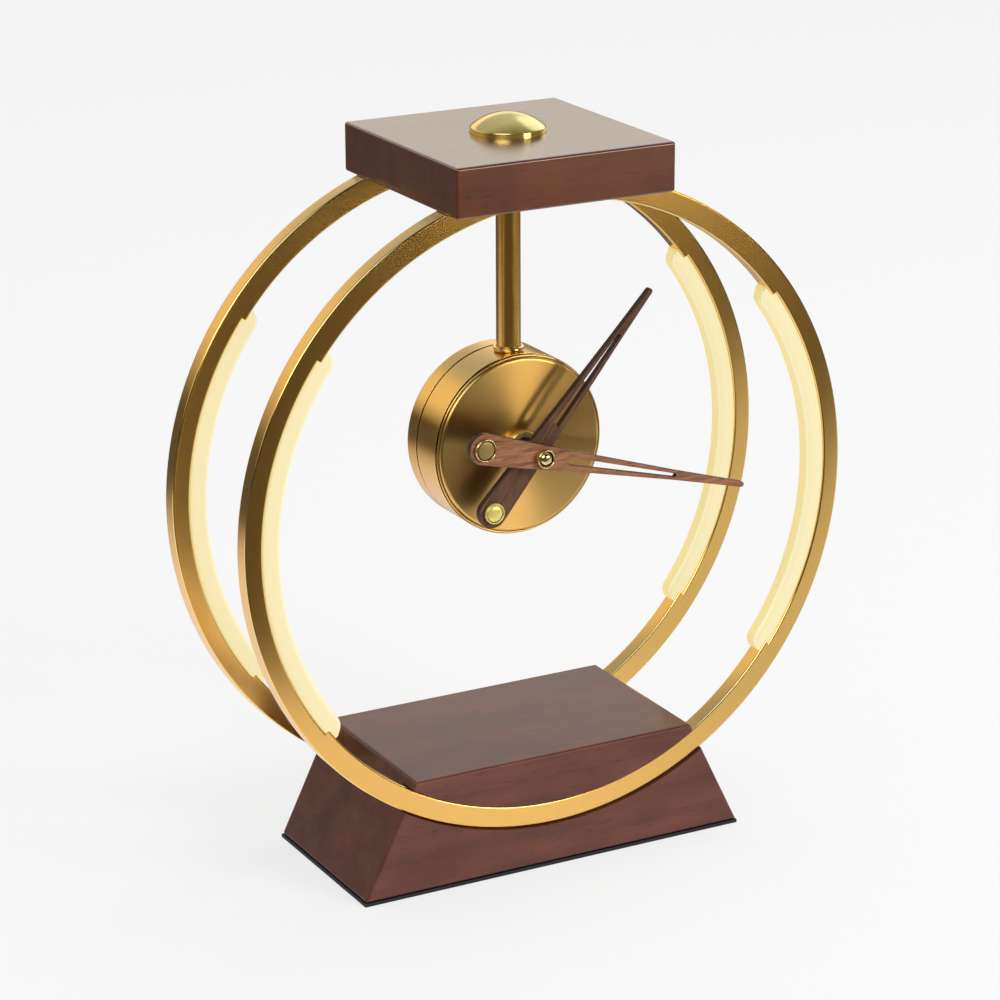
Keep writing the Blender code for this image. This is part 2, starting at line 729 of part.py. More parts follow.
def make_rings(block):
    rings = []
    edge = RING_TUBE_EDGE
    half = RING_TUBE_WIDTH / 2
    profile = [
        (RING_INNER_R + edge, half),
        (RING_OUTER_R - edge, half),
        (RING_OUTER_R, half - edge),
        (RING_OUTER_R, edge - half),
        (RING_OUTER_R - edge, -half),
        (RING_INNER_R + edge, -half),
        (RING_INNER_R, edge - half),
        (RING_INNER_R, half - edge),
    ]
    hollow_r = RING_INNER_R + RING_TUBE_WALL
    hollow_half = half - RING_TUBE_WALL
    led_cutters = []
    for name, middle in (("right", 0.0), ("left", math.pi)):
        led_cutters.append(
            swept(
                "led_ledge_" + name,
                None,
                [
                    (RING_INNER_R - CUT_MARGIN, -RING_Y - CUT_MARGIN - half),
                    (LEDGE_R, -RING_Y - CUT_MARGIN - half),
                    (LEDGE_R, RING_Y + CUT_MARGIN + half),
                    (RING_INNER_R - CUT_MARGIN, RING_Y + CUT_MARGIN + half),
                ],
                middle - LED_HALF_ANGLE,
                middle + LED_HALF_ANGLE,
                LED_STEPS,
                (0, 0, RING_CENTRE_Z),
                FACE_FRONT,
            )
        )
    for name, y in (("ring_front", -RING_Y), ("ring_rear", RING_Y)):
        ring = turned(name, BRASS_BRUSHED, profile, (0, y, RING_CENTRE_Z), FACE_FRONT, RING_STEPS)
        hollow = tube(
            name + "_hollow",
            None,
            TUBE_OUTER_R,
            hollow_r,
            -hollow_half,
            hollow_half,
            (0, y, RING_CENTRE_Z),
            FACE_FRONT,
            RING_STEPS,
        )
        cut(ring, hollow, *led_cutters)
        rings.append(ring)

    wire_hole = rod(
        "base_wire_holes",
        None,
        WIRE_HOLE_R,
        CAVITY_HALF_DEPTH - CUT_MARGIN,
        RING_Y,
        (-WIRE_LIE_R * math.sin(WIRE_HOLE_ANGLE), 0, RING_CENTRE_Z - WIRE_LIE_R * math.cos(WIRE_HOLE_ANGLE)),
        FACE_FRONT,
        SCREW_ROUND,
    )
    mirrored(wire_hole, CENTRE, "Y")
    cut(block, wire_hole)
    seat_z = RING_BOTTOM_Z - RING_SCREW_LENGTH
    for name, ring, y in (("front", rings[0], -RING_Y), ("rear", rings[1], RING_Y)):
        recess = rod(
            "ring_screw_recess_" + name,
            None,
            RING_SCREW_HEAD_R + GAP,
            -CUT_MARGIN,
            seat_z,
            (0, y, 0),
            steps=SCREW_ROUND,
        )
        hole = screw(
            "ring_screw_bottom_" + name,
            RING_SCREW_HEAD_R,
            RING_SCREW_HEAD_HEIGHT,
            RING_SCREW_R,
            RING_SCREW_LENGTH + RING_TUBE_WALL + RING_SCREW_GRIP,
            (0, y, seat_z),
            (math.pi, 0, 0),
        )
        cut(block, recess, hole)
        cut(ring, wire_hole, hole)
    return rings


def make_lights():
    """Each ring has a diffuser and a strip of lamps on the left and on the right."""
    inner_r = LEDGE_R - GAP - DIFFUSER_DEPTH
    rim_r = RING_INNER_R - GAP
    half = DIFFUSER_WIDTH / 2
    edge = DIFFUSER_EDGE * ROUND_CORNER_CUT
    tip_angle = LED_HALF_ANGLE + LED_OVERHANG
    ledge_half_angle = LED_HALF_ANGLE - GAP / LEDGE_R
    round_angle = DIFFUSER_END_ROUND / inner_r
    steps_round = 3
    along = []
    for step in range(steps_round + 1):
        turn = step / steps_round * math.pi / 2
        lift = (rim_r - inner_r) * END_ROUND_SHARE * (1 - math.sin(turn))
        along.append((tip_angle - round_angle * (1 - math.cos(turn)), lift))
    along.sort()
    flat_angle = along[0][0]
    stations = [(-angle, lift) for angle, lift in reversed(along)]
    for step in range(1, LED_STEPS):
        stations.append((-flat_angle + step / LED_STEPS * 2 * flat_angle, 0.0))
    stations += along

    def section(angle, lift):
        low = inner_r + lift
        profile = [
            (rim_r, -half),
            (rim_r, half),
            (low + edge, half),
            (low, half - edge),
            (low, edge - half),
            (low + edge, -half),
        ]
        return [(r * math.cos(angle), r * math.sin(angle), height) for r, height in profile]

    side = half - DIFFUSER_BODY_INSET
    foot = RING_TUBE_WIDTH / 2 - RING_TUBE_WALL - GAP
    for ring_name, y in (("front", -RING_Y), ("rear", RING_Y)):
        for side_name, middle in (("left", math.pi), ("right", 0.0)):
            label = ring_name + "_" + side_name
            place = (0, y, RING_CENTRE_Z)
            dome = lofted(
                "diffuser_" + label,
                DIFFUSER_GLOW,
                [section(middle + angle, lift) for angle, lift in stations],
                place,
                FACE_FRONT,
            )
            body = swept(
                "diffuser_body_" + label,
                None,
                [
                    (rim_r - DIFFUSER_JOIN, -side),
                    (LEDGE_R - GAP, -side),
                    (LEDGE_R - GAP, side),
                    (rim_r - DIFFUSER_JOIN, side),
                ],
                middle - ledge_half_angle,
                middle + ledge_half_angle,
                LED_STEPS,
                place,
                FACE_FRONT,
            )
            foot_piece = swept(
                "diffuser_foot_" + label,
                None,
                [
                    (rim_r, -foot),
                    (LEDGE_R - GAP + DIFFUSER_FOOT_DEPTH, -foot),
                    (LEDGE_R - GAP + DIFFUSER_FOOT_DEPTH, foot),
                    (rim_r, foot),
                ],
                middle - ledge_half_angle + DIFFUSER_FOOT_SHORTER,
                middle + ledge_half_angle - DIFFUSER_FOOT_SHORTER,
                LED_STEPS,
                place,
                FACE_FRONT,
            )
            join(dome, body, foot_piece)
            strip_outer = TUBE_FLAT_R - GAP
            strip_half = foot - GAP
            swept(
                "led_strip_" + label,
                PLASTIC_WHITE,
                [
                    (strip_outer - LED_STRIP_THICKNESS, -strip_half),
                    (strip_outer, -strip_half),
                    (strip_outer, strip_half),
                    (strip_outer - LED_STRIP_THICKNESS, strip_half),
                ],
                middle - ledge_half_angle,
                middle + ledge_half_angle,
                LED_STEPS,
                place,
                FACE_FRONT,
            )


def make_top(rings):
    block = box(
        "top_block",
        WOOD_DARK,
        (-BLOCK_WIDTH / 2, -BLOCK_DEPTH / 2, BLOCK_BOTTOM_Z),
        (BLOCK_WIDTH / 2, BLOCK_DEPTH / 2, BLOCK_TOP_Z),
        edge=BLOCK_EDGE,
    )
    half = RING_TUBE_WIDTH / 2 + GAP
    for name, y in (("front", -RING_Y), ("rear", RING_Y)):
        slot = tube(
            "block_slot_" + name,
            None,
            RING_OUTER_R + GAP,
            RING_INNER_R - CUT_MARGIN,
            -half,
            half,
            (0, y, RING_CENTRE_Z),
            FACE_FRONT,
            RING_STEPS,
        )
        cut(block, slot)
    pocket = rod(
        "button_pocket", None, BUTTON_POCKET_R, BUTTON_FLOOR_Z, BLOCK_TOP_Z + CUT_MARGIN, steps=ROUND
    )
    nut_pocket = rod("nut_pocket", None, NUT_POCKET_R, NUT_FLOOR_Z, BLOCK_TOP_Z, steps=SMALL_ROUND)
    rod_hole = rod(
        "block_rod_hole", None, ROD_R + GAP, BLOCK_BOTTOM_Z - CUT_MARGIN, NUT_FLOOR_Z + CUT_MARGIN
    )
    cut(block, pocket, nut_pocket, rod_hole)

    seat_z = RING_CENTRE_Z + RING_INNER_R * math.cos(RING_STEP / 2)
    for name, ring, y in (("front", rings[0], -RING_Y), ("rear", rings[1], RING_Y)):
        hole = screw(
            "ring_screw_top_" + name,
            TOP_SCREW_HEAD_R,
            TOP_SCREW_HEAD_HEIGHT,
            TOP_SCREW_R,
            RING_TUBE_HEIGHT + TOP_SCREW_GRIP,
            (0, y, seat_z),
            (math.pi, 0, 0),
        )
        cut(block, hole)
        cut(ring, hole)
    wire_z = NUT_FLOOR_Z + WIRE_HOLE_R
    wire_hole = rod(
        "block_wire_hole",
        None,
        WIRE_HOLE_R,
        NUT_POCKET_R / 2,
        RING_Y,
        (BLOCK_WIRE_X, 0, wire_z),
        FACE_FRONT,
        SCREW_ROUND,
    )
    cut(block, wire_hole)
    cut(rings[0], wire_hole)
    return wire_z


def make_button():
    button = empty("button_axis", (0, 0, BLOCK_TOP_Z))
    rim_top = BUTTON_RIM_HEIGHT
    skirt_bottom = -BUTTON_POCKET_DEPTH + BUTTON_TRAVEL + SWITCH_BOARD_THICKNESS + 4 * GAP
    board_bottom = -BUTTON_POCKET_DEPTH + GAP
    board_top = board_bottom + SWITCH_BOARD_THICKNESS
    switch_top = board_top + GAP + SWITCH_HEIGHT
    dome_r = (BUTTON_R**2 + BUTTON_DOME_HEIGHT**2) / 2 / BUTTON_DOME_HEIGHT
    inner_r = BUTTON_R - BUTTON_WALL
    dome_steps = 5

    def arc(shell_r, radius, steps):
        """Points of the dome from the given distance off the axis out to its rim."""
        centre_z = rim_top + BUTTON_DOME_HEIGHT - dome_r
        return [
            (reach, centre_z + math.sqrt(shell_r**2 - reach**2))
            for reach in (radius[0] + (radius[1] - radius[0]) * step / steps for step in range(steps + 1))
        ]

    catch_top = board_bottom - GAP
    catch_bottom = catch_top - BUTTON_CATCH_HEIGHT
    outside = arc(dome_r, (0.0, BUTTON_R), dome_steps)
    inside = arc(dome_r - BUTTON_WALL, (BUTTON_STEM_R, inner_r), dome_steps - 2)
    profile = [
        *outside,
        (BUTTON_R, skirt_bottom),
        (inner_r, skirt_bottom),
        *reversed(inside),
        (BUTTON_STEM_R, catch_top),
        (BUTTON_CATCH_R, catch_top),
        (BUTTON_STEM_R, catch_bottom),
        (0, catch_bottom),
    ]
    turned("light_button", BRASS_POLISHED, profile, steps=BUTTON_STEPS, parent=button)

    board_rim = BUTTON_POCKET_R - GAP
    bore = BUTTON_STEM_R + RUN
    turned(
        "switch_board",
        BOARD_GREEN,
        [(bore, board_top), (board_rim, board_top), (board_rim, board_bottom), (bore, board_bottom)],
        steps=BUTTON_STEPS,
        parent=button,
    )
    half = SWITCH_SIZE / 2
    switch = box(
        "switch_body",
        PLASTIC_BLACK,
        (-half, -half, board_top + GAP),
        (half, half, switch_top),
        parent=button,
    )
    hole_top = switch_top + CUT_MARGIN
    stem_hole = rod("switch_stem_hole", None, bore, board_bottom - CUT_MARGIN, hole_top, parent=button)
    cut(switch, stem_hole)
    spring_bottom = switch_top + GAP + SPRING_WIRE_R
    spring_top = rim_top + BUTTON_DOME_HEIGHT - BUTTON_WALL - GAP - 2 * SPRING_WIRE_R
    count = SPRING_TURNS * SPRING_POINTS_PER_TURN
    path = []
    for index in range(count + 1):
        angle = index / SPRING_POINTS_PER_TURN * 2 * math.pi
        height = BLOCK_TOP_Z + spring_bottom + (spring_top - spring_bottom) * index / count
        path.append((SPRING_R * math.cos(angle), SPRING_R * math.sin(angle), height))
    wire("button_spring", STEEL, path, SPRING_WIRE_R)
    return BLOCK_TOP_Z + board_bottom


def make_rod():
    drum_top = DRUM_Z + DRUM_INNER_R
    nut_drop = DRUM_INNER_R - math.sqrt(DRUM_INNER_R**2 - NUT_R**2)
    lower_nut_top = drum_top - nut_drop - GAP
    lower_nut_bottom = lower_nut_top - NUT_THICKNESS
    rod_bottom = lower_nut_bottom - ROD_END
    upper_nut_bottom = NUT_FLOOR_Z + GAP
    upper_nut_top = upper_nut_bottom + NUT_THICKNESS
    rod_top = upper_nut_top + ROD_END
    tube("rod", BRASS_BRUSHED, ROD_R, ROD_R - ROD_WALL, rod_bottom, rod_top, steps=SMALL_ROUND)
    bore = ROD_R + GAP
    for name, low, high in (
        ("rod_nut_bottom", lower_nut_bottom, lower_nut_top),
        ("rod_nut_top", upper_nut_bottom, upper_nut_top),
    ):
        flat(name, STEEL, [circle(NUT_R, 6), circle(bore, SMALL_ROUND)], low, high)
    collar_top = DRUM_Z + DRUM_R + ROD_COLLAR_HEIGHT
    collar = turned(
        "rod_collar",
        BRASS_POLISHED,
        [
            (bore, collar_top),
            (ROD_COLLAR_R - ROD_COLLAR_EDGE, collar_top),
            (ROD_COLLAR_R, collar_top - ROD_COLLAR_EDGE),
            (ROD_COLLAR_R, collar_top - ROD_COLLAR_HEIGHT - CUT_MARGIN),
            (bore, collar_top - ROD_COLLAR_HEIGHT - CUT_MARGIN),
        ],
        steps=SMALL_ROUND,
    )
    drum_envelope = rod(
        "drum_envelope", None, DRUM_R + GAP, DRUM_BACK, DIAL_FRONT, steps=ROUND, parent=CLOCK_AXIS
    )
    cut(collar, drum_envelope)


def make_drum():
    """The drum's pieces are turned about the clock axis, with local Z to the front."""
    body = tube(
        "drum_body",
        BRASS_BRUSHED,
        DRUM_R,
        DRUM_INNER_R,
        DRUM_SEAM + GAP,
        DIAL_BACK - GAP,
        parent=CLOCK_AXIS,
    )
    rod_hole = rod("drum_rod_hole", None, ROD_R + GAP, DRUM_Z, DRUM_Z + DRUM_R + CUT_MARGIN)
    cut(body, rod_hole)

    face_r = DRUM_R - DIAL_RIM_WIDTH
    rim_front = DIAL_FRONT - DIAL_RIM_STEP
    bore = NECK_R + GAP
    shoulder = DIAL_SHOULDER_R * ROUND_CORNER_SHARE
    turned(
        "dial_plate",
        BRASS_BRUSHED,
        [
            (bore, DIAL_FRONT),
            (face_r - DIAL_SHOULDER_R, DIAL_FRONT),
            (face_r - shoulder, DIAL_FRONT - shoulder),
            (face_r, DIAL_FRONT - DIAL_SHOULDER_R),
            (face_r, rim_front),
            (DRUM_R, rim_front),
            (DRUM_R, DIAL_BACK),
            (SPIGOT_R, DIAL_BACK),
            (SPIGOT_R, DIAL_BACK - SPIGOT_LENGTH),
            (SPIGOT_INNER_R, DIAL_BACK - SPIGOT_LENGTH),
            (SPIGOT_INNER_R, DIAL_BACK),
            (bore, DIAL_BACK),
        ],
        parent=CLOCK_AXIS,
    )
    corner = DRUM_BACK_CORNER * ROUND_CORNER_SHARE
    turned(
        "rear_cap",
        BRASS_BRUSHED,
        [
            (0, DRUM_BACK + DRUM_WALL),
            (SPIGOT_INNER_R, DRUM_BACK + DRUM_WALL),
            (SPIGOT_INNER_R, DRUM_SEAM + SPIGOT_LENGTH),
            (SPIGOT_R, DRUM_SEAM + SPIGOT_LENGTH),
            (SPIGOT_R, DRUM_SEAM),
            (DRUM_R, DRUM_SEAM),
            (DRUM_R, DRUM_BACK + DRUM_BACK_CORNER),
            (DRUM_R - corner, DRUM_BACK + corner),
            (DRUM_R - DRUM_BACK_CORNER, DRUM_BACK),
            (0, DRUM_BACK),
        ],
        parent=empty("rear_cap_axis", (0, 0, DRUM_Z), FACE_FRONT),
    )


def make_movement():
    inner = square_in_circle(CASE_INSIDE_HALF, CASE_INSIDE_REACH)
    outer = square_in_circle(CASE_HALF, CASE_REACH)
    front = flat("movement_case_front", PLASTIC_BLACK, [outer], CASE_SPLIT, CASE_FRONT, parent=CLOCK_AXIS)
    front_hollow = flat(
        "case_front_hollow", None, [inner], CASE_SPLIT - CUT_MARGIN, CASE_INSIDE_FRONT, parent=CLOCK_AXIS
    )
    neck = rod("case_neck", None, NECK_R, CASE_INSIDE_FRONT + GAP, NECK_TOP, parent=CLOCK_AXIS)
    neck_bore = rod(
        "case_neck_bore",
        None,
        NECK_BORE_R,
        CASE_INSIDE_FRONT - CUT_MARGIN,
        NECK_TOP + CUT_MARGIN,
        parent=CLOCK_AXIS,
    )
    post = rod(
        "motion_post",
        None,
        POST_R,
        TRAIN_PLATE_TOP + GAP,
        CASE_INSIDE_FRONT + GAP,
        (MOTION_X, MOTION_Y, 0),
        steps=PEG_ROUND,
        parent=CLOCK_AXIS,
    )
    cut(front, front_hollow)
    join(front, neck, post)
    cut(front, neck_bore)

    rear = flat(
        "movement_case_rear", PLASTIC_BLACK, [outer], CASE_BACK, CASE_SPLIT - GAP, parent=CLOCK_AXIS
    )
    rear_hollow = flat(
        "case_rear_hollow",
        None,
        [inner],
        CASE_BACK + CASE_FRONT_WALL,
        CASE_SPLIT + CUT_MARGIN,
        parent=CLOCK_AXIS,
    )
    half_length = BATTERY_LENGTH / 2
    battery_window = box(
        "battery_window",
        None,
        (-half_length - GAP, -BATTERY_DROP - BATTERY_R - GAP, CASE_BACK - CUT_MARGIN),
        (half_length + GAP, -BATTERY_DROP + BATTERY_R + GAP, CASE_BACK + CASE_FRONT_WALL + GAP),
        parent=CLOCK_AXIS,
    )
    stem_hole = rod(
        "setting_stem_hole",
        None,
        SETTING_STEM_R + RUN,
        CASE_BACK - CUT_MARGIN,
        TRAIN_PLATE_TOP + GAP,
        (SETTING_X, SETTING_Y, 0),
        steps=PEG_ROUND,
        parent=CLOCK_AXIS,
    )
    cut(rear, rear_hollow, battery_window, stem_hole)

    plate_half = CASE_INSIDE_HALF - PLATE_INSET
    plate_top = SETTING_Y + SETTING_STEM_R + PLATE_MARGIN
    battery_top = -BATTERY_DROP + BATTERY_R + GAP
    plate = box(
        "train_plate",
        PLASTIC_BLACK,
        (-plate_half, battery_top, TRAIN_PLATE_BOTTOM),
        (plate_half, plate_top, TRAIN_PLATE_TOP),
        parent=CLOCK_AXIS,
    )
    shaft_hole = rod(
        "train_plate_shaft_hole",
        None,
        MINUTE_SHAFT_R + RUN,
        TRAIN_PLATE_BOTTOM - CUT_MARGIN,
        TRAIN_PLATE_TOP + CUT_MARGIN,
        parent=CLOCK_AXIS,
    )
    cut(plate, shaft_hole, stem_hole)

    motor_bottom = CASE_BACK + CASE_FRONT_WALL + GAP
    motor = box(
        "step_motor",
        PLASTIC_WHITE,
        (SETTING_X + SETTING_STEM_R + PLATE_INSET, battery_top, motor_bottom),
        (plate_half, plate_top, MOTOR_TOP),
        parent=CLOCK_AXIS,
    )
    motor_bore = rod(
        "motor_bore",
        None,
        MINUTE_SHAFT_R + RUN,
        MOTOR_TOP - MOTOR_BORE_DEPTH,
        MOTOR_TOP + CUT_MARGIN,
        parent=CLOCK_AXIS,
    )
    cut(motor, motor_bore)
    board_left = -plate_half
    board_right = SETTING_X - SETTING_STEM_R - PLATE_INSET
    board_low = CASE_SPLIT - MOVEMENT_BOARD_DROP
    board = box(
        "movement_board",
        BOARD_GREEN,
        (board_left, battery_top, board_low),
        (board_right, plate_top, board_low + MOVEMENT_BOARD_THICKNESS),
        parent=CLOCK_AXIS,
    )
    crystal = rod(
        "board_crystal",
        None,
        CRYSTAL_R,
        -CRYSTAL_HALF_LENGTH,
        CRYSTAL_HALF_LENGTH,
        ((board_left + board_right) / 2, CRYSTAL_UP, board_low - CRYSTAL_SINK),
        (math.radians(90.0), 0, 0),
        PEG_ROUND,
        CLOCK_AXIS,
    )
    join(board, crystal)

    contact_near = half_length + GAP
    battery_middle = (CASE_INSIDE_FRONT - GAP) - BATTERY_R
    turned(
        "battery",
        BATTERY_JACKET,
        [
            (0, half_length),
            (BATTERY_NUB_R, half_length),
            (BATTERY_NUB_R, half_length - BATTERY_NUB_LENGTH),
            (BATTERY_R, half_length - BATTERY_NUB_LENGTH),
            (BATTERY_R, -half_length),
            (0, -half_length),
        ],
        (0, -BATTERY_DROP, battery_middle),
        (0, math.radians(90.0), 0),
        SMALL_ROUND,
        CLOCK_AXIS,
    )
    for name, side in (("left", -1), ("right", 1)):
        near, far = sorted((side * contact_near, side * (contact_near + CONTACT_THICKNESS)))
        box(
            "battery_contact_" + name,
            STEEL,
            (near, -BATTERY_DROP - CONTACT_HALF, battery_middle - CONTACT_HALF),
            (far, -BATTERY_DROP + CONTACT_HALF, battery_middle + CONTACT_HALF),
            parent=CLOCK_AXIS,
        )

    minute_axis = empty("minute_axis", (0, 0, DRUM_Z), FACE_FRONT)
    hour_axis = empty("hour_axis", (0, 0, DRUM_Z), FACE_FRONT)
    motion_axis = empty("motion_axis", from_drum(MOTION_X, MOTION_Y, 0), FACE_FRONT)
    setting_axis = empty("setting_axis", from_drum(SETTING_X, SETTING_Y, 0), FACE_FRONT)

    tooth = 2 * math.pi / CANNON_TEETH
    shaft = rod(
        "minute_shaft",
        BRASS_POLISHED,
        MINUTE_SHAFT_R,
        MOTOR_TOP - SHAFT_IN_MOTOR,
        MINUTE_SHAFT_FRONT,
        steps=SMALL_ROUND,
        parent=minute_axis,
    )
    cannon = flat(
        "cannon_pinion",
        None,
        [gear_outline(CANNON_TEETH, MINUTE_MODULE, MOTION_ANGLE)],
        PINION_BOTTOM,
        PINION_TOP,
        parent=minute_axis,
    )
    join(shaft, cannon)

    hour_wheel = tube(
        "hour_wheel",
        BRASS_POLISHED,
        HOUR_TUBE_R,
        HOUR_TUBE_BORE_R,
        HOUR_WHEEL_BOTTOM,
        HOUR_HAND_FRONT + HOUR_TUBE_PROUD,
        steps=SMALL_ROUND,
        parent=hour_axis,
    )
    hour_teeth = flat(
        "hour_teeth",
        None,
        [
            gear_outline(HOUR_TEETH, HOUR_MODULE, MOTION_ANGLE),
            circle(HOUR_TUBE_BORE_R + HOUR_TUBE_WALL / 2, SMALL_ROUND),
        ],
        HOUR_WHEEL_BOTTOM + TOOTH_STEP,
        HOUR_WHEEL_TOP,
        parent=hour_axis,
    )
    join(hour_wheel, hour_teeth)

    facing = MOTION_ANGLE + math.pi
    motion_wheel = flat(
        "motion_wheel",
        BRASS_POLISHED,
        [
            gear_outline(MOTION_TEETH, MINUTE_MODULE, facing + math.pi / MOTION_TEETH),
            circle(POST_R + RUN, PEG_ROUND),
        ],
        MOTION_WHEEL_BOTTOM,
        MOTION_WHEEL_TOP,
        parent=motion_axis,
    )
    hour_pinion = flat(
        "hour_pinion",
        None,
        [
            gear_outline(HOUR_PINION_TEETH, HOUR_MODULE, facing + math.pi / HOUR_PINION_TEETH),
            circle(POST_R + RUN, PEG_ROUND),
        ],
        MOTION_WHEEL_TOP - JOINED_DEPTH,
        MOTION_PINION_TOP,
        parent=motion_axis,
    )
    join(motion_wheel, hour_pinion)

    motion_tooth = 2 * math.pi / MOTION_TEETH
    off_phase = (SETTING_ANGLE - facing - math.pi / MOTION_TEETH) % motion_tooth / motion_tooth
    setting_tooth = SETTING_ANGLE + math.pi + tooth * (0.5 + off_phase)
    knob_top = CASE_BACK - GAP
    knob_bottom = knob_top - SETTING_KNOB_THICKNESS
    stem = rod(
        "setting_knob",
        PLASTIC_WHITE,
        SETTING_STEM_R,
        knob_top - JOINED_DEPTH,
        PINION_TOP,
        steps=PEG_ROUND,
        parent=setting_axis,
    )
    knob_outline = []
    for index in range(SETTING_KNOB_FLUTES * 4):
        ridge = SETTING_KNOB_R if index % 4 in (0, 1) else SETTING_KNOB_R - SETTING_FLUTE_DEPTH
        angle = index * 2 * math.pi / SETTING_KNOB_FLUTES / 4
        knob_outline.append((ridge * math.cos(angle), ridge * math.sin(angle)))
    knob = flat("setting_knob_grip", None, [knob_outline], knob_bottom, knob_top, parent=setting_axis)
    setting_pinion = flat(
        "setting_pinion",
        None,
        [gear_outline(CANNON_TEETH, MINUTE_MODULE, setting_tooth)],
        PINION_BOTTOM,
        PINION_TOP - TOOTH_STEP,
        parent=setting_axis,
    )
    join(stem, knob, setting_pinion)

    bore = NECK_R + GAP
    nut_bottom = DIAL_FRONT + GAP
    turned(
        "dial_nut",
        BRASS_POLISHED,
        [
            (bore, nut_bottom + DIAL_NUT_THICKNESS),
            (DIAL_NUT_R - DIAL_NUT_EDGE, nut_bottom + DIAL_NUT_THICKNESS),
            (DIAL_NUT_R, nut_bottom + DIAL_NUT_THICKNESS - DIAL_NUT_EDGE),
            (DIAL_NUT_R, nut_bottom),
            (bore, nut_bottom),
        ],
        steps=SMALL_ROUND,
        parent=CLOCK_AXIS,
    )
    return minute_axis, hour_axis


def hand_outline(length, tail, neck):
    """A hand pointing up: a round tail, a taper past the hub to the end of its slot, and a small round tip."""
    points = []
    tail_steps = 10
    for step in range(tail_steps + 1):
        angle = math.pi + step / tail_steps * math.pi
        points.append((HAND_TAIL_R * math.cos(angle), -tail + HAND_TAIL_R * math.sin(angle)))
    slot_start, slot_end = neck
    points.append((HAND_HUB_HALF_WIDTH, 0.0))
    points.append((HAND_SLOT_HALF_WIDTH, slot_start))
    points.append((HAND_NECK_HALF_WIDTH, slot_end))
    tip_steps = 4
    for step in range(tip_steps + 1):
        angle = step / tip_steps * math.pi
        points.append((HAND_TIP_R * math.cos(angle), length - HAND_TIP_R + HAND_TIP_R * math.sin(angle)))
    points.append((-HAND_NECK_HALF_WIDTH, slot_end))
    points.append((-HAND_SLOT_HALF_WIDTH, slot_start))
    points.append((-HAND_HUB_HALF_WIDTH, 0.0))
    return points


def slot_outline(slot):
    start, end = slot
    wide = SLOT_START_WIDTH / 2
    narrow = SLOT_END_WIDTH / 2
    points = [(-wide, start), (wide, start)]
    steps = 4
    for step in range(steps + 1):
        angle = step / steps * math.pi
        points.append((narrow * math.cos(angle), end - narrow + narrow * math.sin(angle)))
    return points


def make_hands(minute_axis, hour_axis):
    """Each hand is turned clockwise, seen from the front, away from twelve o'clock."""
    for name, axis, front, length, angle, cap_distance, slot, bore in (
        (
            "minute_hand",
            minute_axis,
            MINUTE_HAND_FRONT,
            MINUTE_HAND_LENGTH,
            MINUTE_HAND_ANGLE,
            MINUTE_CAP_DISTANCE,
            MINUTE_SLOT,
            MINUTE_SHAFT_R + GAP,
        ),
        (
            "hour_hand",
            hour_axis,
            HOUR_HAND_FRONT,
            HOUR_HAND_LENGTH,
            HOUR_HAND_ANGLE,
            HOUR_CAP_DISTANCE,
            HOUR_SLOT,
            HOUR_TUBE_R + GAP,
        ),
    ):
        flat(
            name,
            WOOD_WALNUT,
            [hand_outline(length, cap_distance, slot), slot_outline(slot), circle(bore, SMALL_ROUND)],
            front - HAND_THICKNESS,
            front,
            rotation=(0, 0, -angle),
            parent=axis,
        )

    cap_bottom = MINUTE_HAND_FRONT + GAP
    cap_top = cap_bottom + HAND_CAP_HEIGHT
    recess_top = cap_top - MINUTE_CAP_RECESS
    rim = HAND_CAP_RIM
    corner = rim * ROUND_CORNER_SHARE
    turned(
        "minute_hand_cap",
        BRASS_POLISHED,
        [
            (0, recess_top),
            (MINUTE_CAP_R - rim, recess_top),
            (MINUTE_CAP_R - rim, cap_top),
            (MINUTE_CAP_R - corner, cap_top),
            (MINUTE_CAP_R, cap_top - corner),
            (MINUTE_CAP_R, cap_bottom),
            (0, cap_bottom),
        ],
        cap_place(MINUTE_HAND_ANGLE, MINUTE_CAP_DISTANCE),
        steps=SMALL_ROUND,
        parent=minute_axis,
    )
    cap_bottom = HOUR_HAND_FRONT + GAP
    cap_top = cap_bottom + HAND_CAP_HEIGHT
    turned(
        "hour_hand_cap",
        BRASS_POLISHED,
        [
            (0, cap_top),
            (HOUR_CAP_R - rim, cap_top),
            (HOUR_CAP_R, cap_top - rim / 2),
            (HOUR_CAP_R, cap_bottom),
            (0, cap_bottom),
        ],
        cap_place(HOUR_HAND_ANGLE, HOUR_CAP_DISTANCE),
        steps=SMALL_ROUND,
        parent=hour_axis,
    )

    nut_bottom = MINUTE_HAND_FRONT + GAP
    nut_top = nut_bottom + HAND_NUT_HEIGHT
    bore = MINUTE_SHAFT_R + RUN
    bore_top = MINUTE_SHAFT_FRONT + GAP
    turned(
        "hand_nut",
        BRASS_POLISHED,
        [
            (0, nut_top),
            *[(HAND_NUT_R * share, nut_top - drop) for share, drop in HAND_NUT_FACE],
            (HAND_NUT_R, nut_bottom),
            (bore, nut_bottom),
            (bore, bore_top),
            (0, bore_top),
        ],
        steps=SMALL_ROUND,
        parent=minute_axis,
    )


def cap_place(angle, distance):
    """Where a cap sits on a hand's tail, seen on the clock's face."""
    return (-distance * math.sin(angle), -distance * math.cos(angle), 0)


